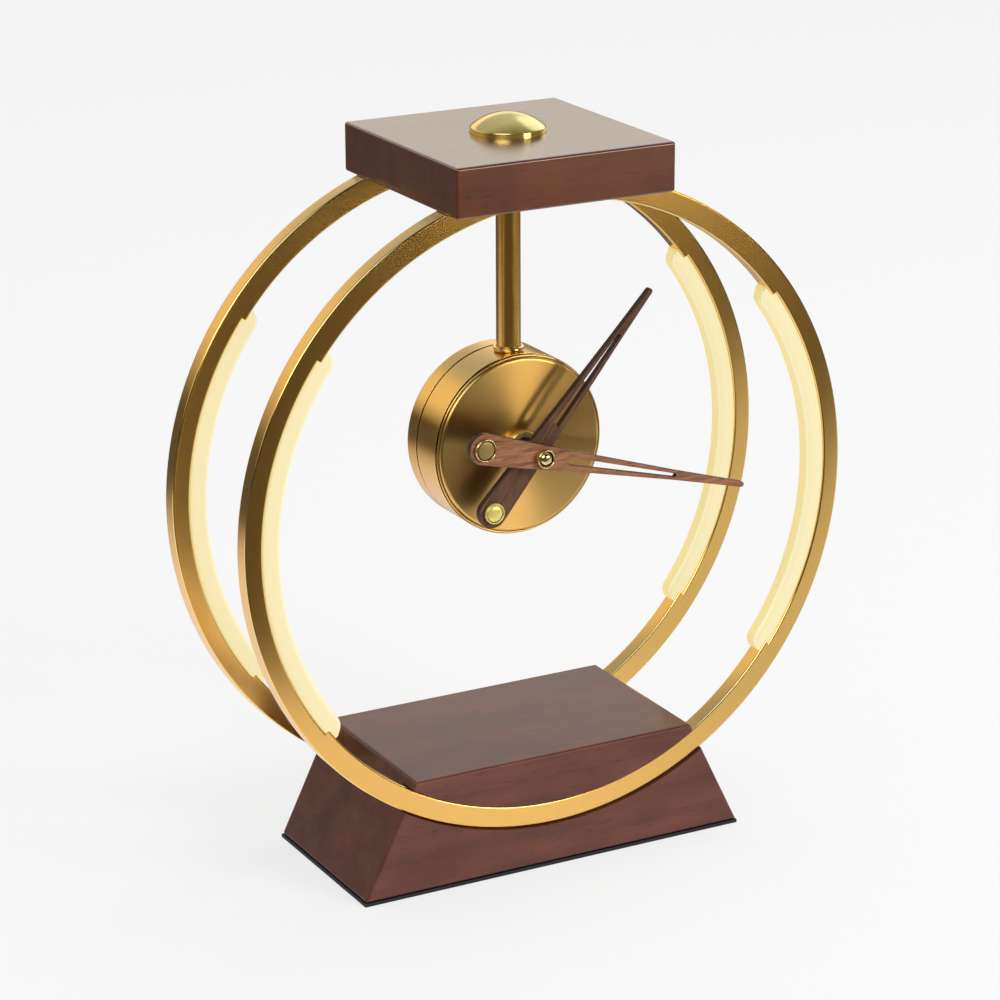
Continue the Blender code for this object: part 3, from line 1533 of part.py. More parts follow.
def make_charger(plate):
    """The coil lies on its ferrite under the charging face. Pegs on the base plate carry the board and press
    the coil's holder up against the shelf in the base."""
    coil_bottom = COIL_TOP_Z - COIL_THICKNESS
    tube("charger_coil", COPPER, COIL_R, COIL_HOLE_R, coil_bottom, COIL_TOP_Z)
    ferrite_top = coil_bottom - GAP
    ferrite_bottom = ferrite_top - FERRITE_THICKNESS
    rod("charger_ferrite", FERRITE, FERRITE_R, ferrite_bottom, ferrite_top, steps=ROUND)
    holder_top = ferrite_bottom - GAP
    plate_top = SHELF_Z - GAP
    plate_bottom = plate_top - HOLDER_THICKNESS
    half_width = CAVITY_HALF_WIDTH - HOLDER_SIDE_GAP
    half_depth = CAVITY_HALF_DEPTH - HOLDER_END_GAP
    holder = box(
        "charger_holder",
        PLASTIC_WHITE,
        (-half_width, -half_depth, plate_bottom),
        (half_width, half_depth, plate_top),
    )
    column_r = COIL_R - HOLDER_COLUMN_INSET
    column = rod("holder_column", None, column_r, plate_bottom + GAP, holder_top, steps=SMALL_ROUND)
    column_bore = rod(
        "holder_bore",
        None,
        column_r - HOLDER_THICKNESS,
        plate_bottom - CUT_MARGIN,
        holder_top - HOLDER_THICKNESS,
        steps=SMALL_ROUND,
    )
    join(holder, column)
    cut(holder, column_bore)

    board_bottom = PLATE_TOP_Z + BOARD_STANDOFF + GAP
    board_top = board_bottom + BOARD_THICKNESS
    board_half_depth = CAVITY_HALF_DEPTH - BOARD_END_GAP
    standoff_x = BOARD_HALF_WIDTH - STANDOFF_INSET
    standoff_y = board_half_depth - STANDOFF_INSET
    peg_top = plate_bottom - GAP
    standoffs = turned(
        "board_standoffs",
        None,
        [
            (0, peg_top),
            (PEG_R, peg_top),
            (PEG_R, PLATE_TOP_Z + BOARD_STANDOFF),
            (STANDOFF_R, PLATE_TOP_Z + BOARD_STANDOFF),
            (STANDOFF_R, PLATE_TOP_Z - BASE_PLATE_THICKNESS / 2),
            (0, PLATE_TOP_Z - BASE_PLATE_THICKNESS / 2),
        ],
        (standoff_x, standoff_y, 0),
        steps=PEG_ROUND,
    )
    mirrored(standoffs, CENTRE, "XY")
    join(plate, standoffs)
    board = box(
        "charger_board",
        BOARD_GREEN,
        (-BOARD_HALF_WIDTH, -board_half_depth, board_bottom),
        (BOARD_HALF_WIDTH, board_half_depth, board_top),
    )
    for name, x, y, width, depth, height in (
        ("board_chip", -0.006, 0.004, 0.007, 0.007, 0.0012),
        ("board_inductor", 0.012, 0.0, 0.010, 0.010, 0.004),
        ("board_capacitors", -0.022, 0.002, 0.006, 0.012, 0.0026),
    ):
        part = box(
            name,
            None,
            (x - width / 2, y - depth / 2, board_top - BOARD_THICKNESS / 2),
            (x + width / 2, y + depth / 2, board_top + height),
        )
        join(board, part)
    peg_holes = rod(
        "board_peg_holes",
        None,
        PEG_R + GAP,
        board_bottom - CUT_MARGIN,
        board_top + CUT_MARGIN,
        (standoff_x, standoff_y, 0),
        steps=PEG_ROUND,
    )
    mirrored(peg_holes, CENTRE, "XY")
    cut(board, peg_holes)
    return board_top


def make_inlet(block):
    """A round power socket in a recess at the back, below the rear ring's right side."""
    back = BASE_DEPTH / 2
    nose_end = back - INLET_RECESS_DEPTH
    half = INLET_BODY_SIZE / 2
    body_back = CAVITY_HALF_DEPTH - GAP
    place = (INLET_X, 0, INLET_HEIGHT)
    recess = rod(
        "inlet_recess", None, INLET_RECESS_R, -back - CUT_MARGIN, -nose_end, place, FACE_FRONT, SMALL_ROUND
    )
    nose_hole = rod(
        "inlet_hole",
        None,
        INLET_NOSE_R + GAP,
        -back - CUT_MARGIN,
        -CAVITY_HALF_DEPTH + CUT_MARGIN,
        place,
        FACE_FRONT,
    )
    cut(block, recess, nose_hole)
    inlet = box(
        "power_inlet",
        PLASTIC_BLACK,
        (INLET_X - half, body_back - INLET_BODY_SIZE, INLET_HEIGHT - half),
        (INLET_X + half, body_back, INLET_HEIGHT + half),
    )
    nose_low = -nose_end - INLET_JOIN
    nose_high = -body_back + INLET_JOIN
    nose = rod("inlet_nose", None, INLET_NOSE_R, nose_low, nose_high, place, FACE_FRONT)
    bore = tube(
        "inlet_bore",
        None,
        INLET_BORE_R,
        INLET_PIN_R,
        -nose_end - CUT_MARGIN,
        -body_back - INLET_JOIN,
        place,
        FACE_FRONT,
        SMALL_ROUND,
    )
    join(inlet, nose)
    cut(inlet, bore)
    return body_back - INLET_BODY_SIZE - GAP


def make_wires(board_top, switch_board_z, block_wire_z, inlet_y):
    """In each ring one wire joins the lower ends of the two lamp strips and feeds them from the base. A switch
    wire goes up the front ring into the top block."""
    first = math.pi + LED_HALF_ANGLE + GAP / WIRE_LIE_R
    last = 2 * math.pi - LED_HALF_ANGLE - GAP / WIRE_LIE_R
    bottom = 1.5 * math.pi
    rise = RING_SCREW_GRIP + 2 * WIRE_R
    feed_angle = bottom - WIRE_HOLE_ANGLE
    feed_x, _, feed_z = ring_point(WIRE_LIE_R, feed_angle, 0)
    rest_z = board_top + WIRE_R + GAP
    landing = CAVITY_HALF_DEPTH - FEED_LANDING
    bend = CAVITY_HALF_DEPTH - FEED_START
    for ring_name, side in (("front", -1), ("rear", 1)):
        path = []
        for step in range(LOOP_STEPS + 1):
            angle = first + (last - first) * step / LOOP_STEPS
            lift = rise if abs(angle - bottom) < LOOP_SCREW_ANGLE else 0.0
            path.append(ring_point(WIRE_LIE_R - lift, angle, side * RING_Y))
        loop = wire("lamp_wires_" + ring_name, WIRE_RED, path)
        feed = wire(
            "lamp_feed_" + ring_name,
            None,
            [
                (feed_x, side * RING_Y, feed_z),
                (feed_x, side * bend, feed_z),
                (feed_x, side * (bend - FEED_BEND), feed_z - FEED_DROP),
                (feed_x, side * (landing + FEED_SLOPE_LENGTH), (feed_z + rest_z) / 2),
                (feed_x, side * landing, rest_z),
            ],
        )
        join(loop, feed)

    start = math.pi - LED_HALF_ANGLE - GAP / WIRE_LIE_R
    end = math.pi / 2 + math.asin(-BLOCK_WIRE_X / WIRE_LIE_R)
    share = (end - start) / SWITCH_WIRE_STEPS
    path = [ring_point(WIRE_LIE_R, start + share * step, -RING_Y) for step in range(SWITCH_WIRE_STEPS)]
    pocket_y = -math.sqrt(NUT_POCKET_R**2 - BLOCK_WIRE_X**2) + WIRE_R + 2 * GAP
    path.append((BLOCK_WIRE_X, -RING_Y + WIRE_R, block_wire_z))
    path.append((BLOCK_WIRE_X, pocket_y - SWITCH_WIRE_BEND, block_wire_z))
    path.append((BLOCK_WIRE_X, pocket_y, block_wire_z + SWITCH_WIRE_BEND))
    path.append((BLOCK_WIRE_X, pocket_y, switch_board_z - GAP))
    wire("switch_wire", WIRE_RED, path)

    over_edge = (INLET_X + BOARD_HALF_WIDTH) / 2
    wire(
        "inlet_wire",
        WIRE_RED,
        [
            (INLET_X, inlet_y, INLET_HEIGHT + INLET_WIRE_RISE),
            (INLET_X, inlet_y - INLET_WIRE_STEP, INLET_HEIGHT + INLET_WIRE_RISE),
            (over_edge, inlet_y - 2 * INLET_WIRE_STEP, (INLET_HEIGHT + INLET_WIRE_RISE + rest_z) / 2),
            (BOARD_HALF_WIDTH - INLET_WIRE_LANDING, inlet_y - 3 * INLET_WIRE_STEP, rest_z),
        ],
    )


def shade():
    """Rounds the shading of curved faces and keeps real edges sharp."""
    graph = bpy.context.evaluated_depsgraph_get()
    for part in PARTS.objects:
        if part.type != "MESH":
            continue
        data = bpy.data.meshes.new_from_object(part.evaluated_get(graph))
        data.name = part.name
        data.shade_smooth()
        data.set_sharp_from_angle(angle=SHARP_ANGLE)
        part.modifiers.clear()
        part.data = data


def main():
    base_block, base_plate = make_base()
    rings = make_rings(base_block)
    make_lights()
    block_wire_z = make_top(rings)
    switch_board_z = make_button()
    make_rod()
    make_drum()
    minute_axis, hour_axis = make_movement()
    make_hands(minute_axis, hour_axis)
    board_top = make_charger(base_plate)
    inlet_y = make_inlet(base_block)
    make_wires(board_top, switch_board_z, block_wire_z, inlet_y)
    bpy.context.view_layer.update()
    shade()


main()
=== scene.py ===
"""Looks of the desk lamp clock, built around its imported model."""

import math

import bmesh
import bpy
from mathutils import Matrix, Vector


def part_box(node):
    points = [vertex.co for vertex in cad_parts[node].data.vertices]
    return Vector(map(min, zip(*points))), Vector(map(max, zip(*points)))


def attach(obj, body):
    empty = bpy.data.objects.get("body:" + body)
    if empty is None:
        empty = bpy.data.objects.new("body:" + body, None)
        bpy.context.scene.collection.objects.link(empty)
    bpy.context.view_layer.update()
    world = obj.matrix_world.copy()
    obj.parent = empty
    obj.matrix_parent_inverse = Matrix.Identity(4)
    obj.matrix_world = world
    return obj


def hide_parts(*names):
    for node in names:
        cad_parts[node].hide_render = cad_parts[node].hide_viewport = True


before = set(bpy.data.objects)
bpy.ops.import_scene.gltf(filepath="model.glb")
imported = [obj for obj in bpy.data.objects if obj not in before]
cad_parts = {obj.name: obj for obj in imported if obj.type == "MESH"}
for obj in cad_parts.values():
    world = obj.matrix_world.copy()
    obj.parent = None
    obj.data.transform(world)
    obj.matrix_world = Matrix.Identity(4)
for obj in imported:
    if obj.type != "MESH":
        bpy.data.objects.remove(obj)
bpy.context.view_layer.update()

# Sizes repeated from the model, in metres
RING_R = 0.143
RING_INNER_R = 0.1332
RING_WIDTH = 0.008
RING_Y = 0.0365
RING_Z = 0.1624
LEDGE_R = 0.1352
LED_ANGLE = math.radians(36.6)
LED_TIP_ANGLE = math.radians(38.6)
LIGHT_INNER_R = 0.1265
LIGHT_WIDTH = 0.0076
DRUM_R = 0.040
DRUM_INNER_R = 0.0388
DRUM_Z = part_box("drum_body")[0].z + DRUM_R
DRUM_SEAM = -0.0094
DRUM_BACK = -0.018
SPIGOT_R = 0.0385
SPIGOT_INNER_R = 0.0375
SPIGOT_LENGTH = 0.0018
CAP_WALL = 0.0012
DIAL_FRONT = 0.0105
DIAL_BACK = 0.0087
DIAL_BORE_R = 0.0043
DIAL_NUT_R = 0.0072
ROD_R = 0.00525
ROD_BORE_R = 0.004
BASE_TOP_WIDTH = 0.1354
SOCKET_X = 0.040
SOCKET_Z = 0.013
BLOCK_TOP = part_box("top_block")[1].z
BLOCK_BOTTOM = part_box("top_block")[0].z
BUTTON_R = 0.016
BUTTON_RIM_HEIGHT = 0.0022
DOME_HEIGHT = 0.0061
BATTERY_CELL_END = 0.0242
HAND_THICKNESS = 0.003
GAP = 0.0003

# Fine trim, in metres
RING_EDGE = 0.0009
WOOD_EDGE = 0.0011
HAND_EDGE = 0.0003
RIM_GROOVE = 0.0005
SEAM_GROOVE = 0.001
BATTERY_BAND_START = 0.011

# How finely the meshes are made
SMOOTH_ANGLE = math.radians(35.0)
STRAIGHT_ANGLE = math.radians(176.0)
LONGEST_CUT = 0.45
WELD_DISTANCE = 0.0000005
CORNER_STEPS = 4
RING_STEP_ANGLE = math.radians(1.5)
SMALL_STEPS = 72
ROD_STEPS = 96
FINE_STEPS = 144
DIAL_STEPS = 192
HOOP_STEPS = 180


# Shader building
class Graph:
    """A node tree. A value given for an input is a socket, to be linked, or a plain value."""

    def __init__(self, tree):
        self.tree = tree

    def feed(self, socket, value):
        if isinstance(value, bpy.types.NodeSocket):
            self.tree.links.new(value, socket)
        else:
            socket.default_value = value

    def add(self, kind, inputs=None, **settings):
        node = self.tree.nodes.new("ShaderNode" + kind)
        for key, value in settings.items():
            setattr(node, key, value)
        for key, value in (inputs or {}).items():
            self.feed(node.inputs[key], value)
        return node

    def math(self, operation, first, second=0.0):
        return self.add("Math", {0: first, 1: second}, operation=operation).outputs[0]

    def plus(self, first, second):
        return self.math("ADD", first, second)

    def times(self, first, second):
        return self.math("MULTIPLY", first, second)

    def moved(self, vector, by):
        return self.add("VectorMath", {0: vector, 1: by}, operation="ADD").outputs[0]

    def along(self, vector, direction):
        """How far the vector reaches in the direction."""
        return self.add("VectorMath", {0: vector, 1: direction}, operation="DOT_PRODUCT").outputs["Value"]

    def coordinate(self, kind):
        return self.add("TexCoord").outputs[kind]

    def axes(self, vector):
        return self.add("SeparateXYZ", {0: vector}).outputs

    def reach(self):
        """The distance from the object's own Z axis."""
        x, y = self.axes(self.coordinate("Object"))[:2]
        return self.math("SQRT", self.plus(self.times(x, x), self.times(y, y)))

    def noise(self, vector, detail=3.0, roughness=0.5, distortion=0.0):
        inputs = {
            "Vector": vector,
            "Scale": 1.0,
            "Detail": detail,
            "Roughness": roughness,
            "Distortion": distortion,
        }
        return self.add("TexNoise", inputs).outputs["Fac"]

    def ramp(self, factor, *stops):
        node = self.add("ValToRGB", {"Fac": factor})
        band = node.color_ramp
        while len(band.elements) < len(stops):
            band.elements.new(0.5)
        for element, (place, colour) in zip(band.elements, stops):
            element.position = place
            element.color = (*colour, 1.0)
        return node.outputs["Color"]

    def span(self, value, low, high, to_low=0.0, to_high=1.0):
        """value from low to high becomes to_low to to_high, and stays within them."""
        inputs = {"Value": value, "From Min": low, "From Max": high, "To Min": to_low, "To Max": to_high}
        return self.add("MapRange", inputs).outputs[0]

    def mix(self, factor, first, second):
        node = self.add("Mix", data_type="RGBA")
        self.feed(node.inputs["Factor"], factor)
        self.feed(node.inputs[6], first if isinstance(first, bpy.types.NodeSocket) else (*first, 1.0))
        self.feed(node.inputs[7], second if isinstance(second, bpy.types.NodeSocket) else (*second, 1.0))
        return node.outputs[2]

    def place(self, scale=(1.0, 1.0, 1.0), offset=(0.0, 0.0, 0.0), turn=(0.0, 0.0, 0.0)):
        """The object's own coordinates, turned first, then stretched and moved."""
        here = self.coordinate("Object")
        if any(turn):
            here = self.add("Mapping", {"Vector": here, "Rotation": turn}).outputs[0]
        return self.add("Mapping", {"Vector": here, "Scale": scale, "Location": offset}).outputs[0]

    def bump(self, height, strength, distance):
        return self.add("Bump", {"Height": height, "Strength": strength, "Distance": distance}).outputs[0]


class Surface(Graph):
    """A new material with its Principled shader."""

    def __init__(self, name):
        self.material = bpy.data.materials.new(name)
        self.material.use_nodes = True
        super().__init__(self.material.node_tree)
        self.shader = self.tree.nodes["Principled BSDF"]

    def set(self, **values):
        """Sets the shader's inputs, whose names are written in lower case with underscores."""
        for name, value in values.items():
            key = name.replace("_", " ").title().replace("Ior", "IOR")
            self.feed(self.shader.inputs[key], value)
        return self.material


def round_place(graph, along, across):
    """Coordinates that run round local Z: streaks laid along a turned piece follow its brushing."""
    x, y, z = graph.axes(graph.coordinate("Object"))
    inputs = {
        "X": graph.times(graph.math("ARCTAN2", y, x), along),
        "Y": graph.times(graph.reach(), across),
        "Z": graph.times(z, across),
    }
    return graph.add("CombineXYZ", inputs).outputs[0]


def seam_shade_pick(limit, low):
    """Picks where painted shade goes in the seam: what lies nearer to local Z than the limit, and above the
    low height.
    """

    def pick(graph):
        z = graph.axes(graph.coordinate("Object"))[2]
        return graph.times(graph.math("LESS_THAN", graph.reach(), limit), graph.math("GREATER_THAN", z, low))

    return pick


def groove_shade_ring(low_radius, high_radius, height):
    """Picks where painted shade goes: a narrow ring between two radii, and all that lies lower along local Z
    than the height.
    """

    def pick(graph):
        z = graph.axes(graph.coordinate("Object"))[2]
        reach = graph.reach()
        wide = graph.math("GREATER_THAN", reach, low_radius)
        narrow = graph.math("LESS_THAN", reach, high_radius)
        return graph.math("MAXIMUM", graph.times(wide, narrow), graph.math("LESS_THAN", z, height))

    return pick


def darkened(colour, share):
    return tuple(share * part for part in colour)


# Materials
BRASS = (0.86, 0.50, 0.12)
BRASS_LIGHT = (0.88, 0.53, 0.135)
BRASS_SHADE = (0.83, 0.47, 0.105)
# Painted highlight for the rounded edges of the rings
PAINTED_EDGE_HIGHLIGHT = (0.95, 0.68, 0.24)
PALE_BRASS = (0.95, 0.64, 0.26)
# Painted shade for the dark insides of grooves and seams, not a colour of the brass
PAINTED_GROOVE_SHADE = (0.05, 0.028, 0.012)
# Painted shade for the sides and back of the hands
PAINTED_WALNUT_SHADE = (0.022, 0.011, 0.010)
ROUND_TANGENT = {"direction_type": "RADIAL", "axis": "Z"}
QUARTER_TURN = 0.25


def brushed_brass(
    name, along, across, roughness, aniso, paler=0.0, lengthwise=False, groove=None, edges=False
):
    """Satin brass, brushed round local Z, or along it for a rod. Grooves get painted shade, and the rounded
    edges a painted highlight with less roughness.
    """
    graph = Surface(name)
    if lengthwise:
        strokes = graph.place(scale=(across, across, along))
    else:
        strokes = round_place(graph, along, across)
    fine = graph.noise(strokes, detail=4.0, roughness=0.65)
    broad = graph.noise(graph.place(scale=(14.0, 14.0, 14.0)), detail=2.0)
    worn = graph.noise(graph.place(scale=(60.0, 60.0, 60.0), offset=(3.0, 1.0, 7.0)))
    tone = graph.mix(graph.span(fine, 0.3, 0.7), BRASS_SHADE, BRASS_LIGHT)
    tone = graph.mix(graph.span(broad, 0.3, 0.7, 0.25, 0.6), tone, BRASS)
    if paler:
        tone = graph.mix(paler, tone, PALE_BRASS)
    rough = graph.plus(
        graph.span(fine, 0.25, 0.75, roughness - 0.01, roughness + 0.012),
        graph.span(worn, 0.35, 0.7, -0.006, 0.012),
    )
    # Painted highlight: the rounded edges are made paler, and smoother
    if edges:
        facing = graph.math("ABSOLUTE", graph.axes(graph.coordinate("Normal"))[2])
        edge = graph.times(graph.span(facing, 0.2, 0.4), graph.span(facing, 0.92, 0.98, 1.0, 0.0))
        tone = graph.mix(edge, tone, PAINTED_EDGE_HIGHLIGHT)
        rough = graph.times(rough, graph.span(edge, 0.0, 1.0, 1.0, 0.5))
    # Painted shade: the picked groove is darkened to look shaded
    if groove:
        tone = graph.mix(groove(graph), tone, PAINTED_GROOVE_SHADE)
    return graph.set(
        base_color=tone,
        metallic=1.0,
        roughness=rough,
        anisotropic=aniso,
        anisotropic_rotation=0.0 if lengthwise else QUARTER_TURN,
        tangent=graph.add("Tangent", **ROUND_TANGENT).outputs[0],
        coat_weight=0.12,
        coat_roughness=0.16,
        normal=graph.bump(fine, strength=0.004, distance=0.00002),
    )


def polished_brass(name, colour, roughness, spin=0.0, metal=1.0, groove=None):
    """Bright brass with faint turning marks and small smudges. Lacquered pieces are less metallic."""
    graph = Surface(name)
    marks = graph.noise(round_place(graph, along=1.5, across=2600.0), roughness=0.6)
    smudge = graph.noise(graph.place(scale=(260.0, 260.0, 260.0)), detail=4.0, roughness=0.6)
    tone = graph.mix(graph.span(marks, 0.3, 0.7), colour, darkened(colour, 0.86))
    # Painted shade: the picked groove is darkened to look shaded
    if groove:
        tone = graph.mix(groove(graph), tone, PAINTED_GROOVE_SHADE)
    rough = graph.plus(
        graph.span(marks, 0.3, 0.7, roughness, roughness + 0.05),
        graph.span(smudge, 0.45, 0.75, 0.0, 0.06),
    )
    return graph.set(
        base_color=tone,
        metallic=metal,
        roughness=rough,
        anisotropic=spin,
        anisotropic_rotation=QUARTER_TURN,
        tangent=graph.add("Tangent", **ROUND_TANGENT).outputs[0],
        normal=graph.bump(marks, strength=0.05, distance=0.00003),
    )


def lacquered_wood(name, dark, middle, light, shift, coat, coat_ior, coat_roughness):
    """Stained close-grained wood under satin lacquer, with its grain along X."""
    graph = Surface(name)
    bend = graph.noise(graph.place(scale=(7.0, 22.0, 22.0), offset=shift))
    lift = graph.add("CombineXYZ", {"Y": graph.span(bend, 0.2, 0.8, -0.35, 0.35), "Z": bend}).outputs[0]
    grain = graph.moved(graph.place(scale=(9.0, 120.0, 120.0), offset=shift), lift)
    lines = graph.noise(grain, detail=5.0, roughness=0.62, distortion=0.35)
    pores = graph.noise(graph.place(scale=(130.0, 1000.0, 1000.0), offset=shift), roughness=0.6)
    cloud = graph.noise(graph.place(scale=(34.0, 55.0, 55.0), offset=shift))
    tone = graph.ramp(lines, (0.30, dark), (0.48, middle), (0.70, light))
    tone = graph.mix(0.45, tone, middle)
    tone = graph.mix(graph.span(cloud, 0.35, 0.70, 0.0, 0.6), tone, dark)
    pore_mask = graph.span(pores, 0.58, 0.70)
    tone = graph.mix(graph.times(pore_mask, 0.5), tone, darkened(dark, 0.3))
    height = graph.math("SUBTRACT", graph.times(lines, 0.25), pore_mask)
    return graph.set(
        base_color=tone,
        roughness=graph.span(lines, 0.3, 0.7, 0.32, 0.40),
        specular_ior_level=0.12,
        coat_weight=coat,
        coat_ior=coat_ior,
        coat_roughness=coat_roughness,
        normal=graph.bump(height, strength=0.25, distance=0.00005),
    )


def oiled_walnut(name, dark, middle, light, slant, shift):
    """Open-grained walnut, its grain a little off local Y as in veneer, with painted shade on its sides and
    back.
    """
    graph = Surface(name)
    turn = (0.0, 0.0, slant)
    bend = graph.noise(graph.place(scale=(90.0, 18.0, 90.0), offset=shift, turn=turn), detail=2.0)
    lift = graph.add("CombineXYZ", {"X": graph.span(bend, 0.2, 0.8, -0.8, 0.8)}).outputs[0]
    grain = graph.moved(graph.place(scale=(950.0, 75.0, 950.0), offset=shift, turn=turn), lift)
    lines = graph.noise(grain, detail=5.0, roughness=0.65, distortion=0.4)
    pores = graph.noise(graph.place(scale=(3200.0, 240.0, 3200.0), offset=shift, turn=turn), detail=2.0)
    tone = graph.ramp(lines, (0.28, dark), (0.5, middle), (0.72, light))
    pore_mask = graph.span(pores, 0.58, 0.74)
    tone = graph.mix(graph.times(pore_mask, 0.55), tone, darkened(dark, 0.35))
    # Painted shade on the sides and back, which face away from the light
    facing = graph.axes(graph.coordinate("Normal"))[2]
    tone = graph.mix(graph.span(facing, 0.3, 0.75, 0.85, 0.0), tone, PAINTED_WALNUT_SHADE)
    height = graph.math("SUBTRACT", graph.times(lines, 0.4), pore_mask)
    return graph.set(
        base_color=tone,
        roughness=graph.span(lines, 0.3, 0.7, 0.48, 0.6),
        specular_ior_level=0.35,
        normal=graph.bump(height, strength=0.3, distance=0.00005),
    )


def lit_diffuser(name):
    """Warm glow: palest on the broad sides, deeper towards the hoop's middle and at the edges."""
    deep = (1.0, 0.80, 0.29)
    pale = (0.84, 0.725, 0.375)
    crest_glow = (1.0, 0.92, 0.60)
    seat_glow = (0.80, 0.66, 0.26)
    cloud_glow = (0.92, 0.82, 0.48)
    graph = Surface(name)
    side = graph.math("ABSOLUTE", graph.axes(graph.coordinate("Normal"))[2])
    cloud = graph.noise(graph.place(scale=(40.0, 40.0, 40.0)), detail=2.0)
    tone = graph.mix(graph.span(side, 0.35, 0.95), deep, pale)
    crest = graph.times(graph.span(side, 0.45, 0.75), graph.span(side, 0.75, 0.98, 1.0, 0.0))
    tone = graph.mix(crest, tone, crest_glow)
    tone = graph.mix(graph.span(graph.reach(), LEDGE_R - 0.0025, LEDGE_R, 0.0, 0.6), tone, seat_glow)
    tone = graph.mix(graph.span(cloud, 0.3, 0.7, 0.0, 0.10), tone, cloud_glow)
    return graph.set(
        base_color=(0.30, 0.27, 0.18, 1.0),
        roughness=0.45,
        emission_color=tone,
        emission_strength=0.69,
    )


def plain(name, colour, roughness, grain, metallic=0.0):
    """Moulded, plated or rubber surface with a fine texture and a little change of tone."""
    graph = Surface(name)
    fine = graph.noise(graph.place(scale=(grain, grain, grain)), roughness=0.6)
    broad = graph.noise(graph.place(scale=(30.0, 30.0, 30.0)), detail=2.0)
    return graph.set(
        base_color=graph.mix(graph.span(broad, 0.3, 0.7), colour, darkened(colour, 0.88)),
        metallic=metallic,
        roughness=graph.span(fine, 0.3, 0.7, roughness - 0.05, roughness + 0.05),
        normal=graph.bump(fine, strength=0.2, distance=0.00004),
    )


def battery_jacket():
    """Dark sleeve with a copper band, and bare metal at both ends."""
    graph = Surface("battery_jacket")
    x = graph.axes(graph.coordinate("Object"))[0]
    band = graph.math("GREATER_THAN", x, BATTERY_BAND_START)
    metal = graph.math("GREATER_THAN", graph.math("ABSOLUTE", x), BATTERY_CELL_END)
    tone = graph.mix(band, (0.012, 0.014, 0.02), (0.62, 0.30, 0.08))
    tone = graph.mix(metal, tone, (0.6, 0.6, 0.6))
    return graph.set(base_color=tone, metallic=graph.math("MAXIMUM", band, metal), roughness=0.3)


# The rings' rounded edges carry a painted highlight
RING_BRASS = brushed_brass("ring_brass", along=9.0, across=2600.0, roughness=0.22, aniso=0.6, edges=True)
DIAL_BRASS = brushed_brass(
    "dial_brass",
    along=2.2,
    across=5200.0,
    roughness=0.29,
    aniso=0.8,
    paler=0.2,
    groove=groove_shade_ring(0.03862, 0.03885, DIAL_BACK + RIM_GROOVE),
)
DRUM_BRASS = brushed_brass(
    "drum_brass",
    along=3.0,
    across=3200.0,
    roughness=0.21,
    aniso=0.6,
    groove=seam_shade_pick(DRUM_R - 0.0003, DRUM_SEAM - 0.0002),
)
ROD_BRASS = brushed_brass(
    "rod_brass", along=60.0, across=2500.0, roughness=0.24, aniso=0.0, lengthwise=True
)
BRIGHT_BRASS = polished_brass("bright_brass", (0.90, 0.69, 0.30), roughness=0.10)
NUT_BRASS = polished_brass(
    "nut_brass", (0.92, 0.72, 0.34), roughness=0.12, groove=groove_shade_ring(0.0029, 0.0034, 0.0)
)
HUB_BRASS = polished_brass("hub_brass", (0.98, 0.66, 0.16), roughness=0.14, metal=0.6)
DOME_BRASS = polished_brass("dome_brass", (0.98, 0.70, 0.19), roughness=0.14, spin=0.85, metal=0.85)
CAP_BRASS = polished_brass(
    "cap_brass", (0.86, 0.72, 0.20), roughness=0.22, metal=0.45, groove=groove_shade_ring(0.0036, 0.00385, 0.0)
)
RECESS_BRASS = polished_brass("recess_brass", (0.33, 0.22, 0.075), roughness=0.32, metal=0.5)
BASE_WOOD = lacquered_wood(
    "base_wood",
    dark=(0.066, 0.020, 0.012),
    middle=(0.125, 0.038, 0.022),
    light=(0.165, 0.054, 0.032),
    shift=(0.3, 1.1, 2.0),
    coat=0.42,
    coat_ior=1.5,
    coat_roughness=0.16,
)
BLOCK_WOOD = lacquered_wood(
    "block_wood",
    dark=(0.062, 0.0145, 0.004),
    middle=(0.112, 0.027, 0.0065),
    light=(0.142, 0.038, 0.010),
    shift=(2.3, 0.4, 5.0),
    coat=1.0,
    coat_ior=1.88,
    coat_roughness=0.19,
)
MINUTE_WALNUT = oiled_walnut(
    "minute_walnut",
    dark=(0.100, 0.034, 0.014),
    middle=(0.250, 0.102, 0.046),
    light=(0.38, 0.175, 0.085),
    slant=math.radians(-14.0),
    shift=(1.0, 2.0, 3.0),
)
HOUR_WALNUT = oiled_walnut(
    "hour_walnut",
    dark=(0.034, 0.013, 0.007),
    middle=(0.088, 0.037, 0.018),
    light=(0.155, 0.068, 0.034),
    slant=math.radians(-6.0),
    shift=(4.0, 1.0, 2.0),
)
GLOW = lit_diffuser("lit_diffuser")
PAD = plain("pad_rubber", (0.010, 0.009, 0.011), roughness=0.75, grain=1800.0)
BLACK = plain("moulded_black", (0.018, 0.018, 0.019), roughness=0.45, grain=1200.0)
WHITE = plain("moulded_white", (0.72, 0.71, 0.68), roughness=0.42, grain=1000.0)
STEEL = plain("zinc_steel", (0.58, 0.58, 0.60), roughness=0.28, grain=900.0, metallic=1.0)
COPPER = plain("enamelled_copper", (0.58, 0.22, 0.08), roughness=0.3, grain=700.0, metallic=1.0)
FERRITE = plain("grey_ferrite", (0.05, 0.05, 0.055), roughness=0.6, grain=800.0)
BOARD = plain("board_mask", (0.015, 0.11, 0.05), roughness=0.3, grain=300.0)
WIRE = plain("wire_cover", (0.45, 0.02, 0.02), roughness=0.35, grain=500.0)
BATTERY = battery_jacket()


# Mesh building
def finished(name, bm, finish, body, node, matrix):
    """Makes the piece, shades it smooth with real edges sharp, and hangs it on its body."""
    data = bpy.data.meshes.new(name)
    bmesh.ops.remove_doubles(bm, verts=bm.verts, dist=WELD_DISTANCE)
    bmesh.ops.recalc_face_normals(bm, faces=bm.faces)
    bm.to_mesh(data)
    bm.free()
    hung(name, data, finish, body, node, matrix)


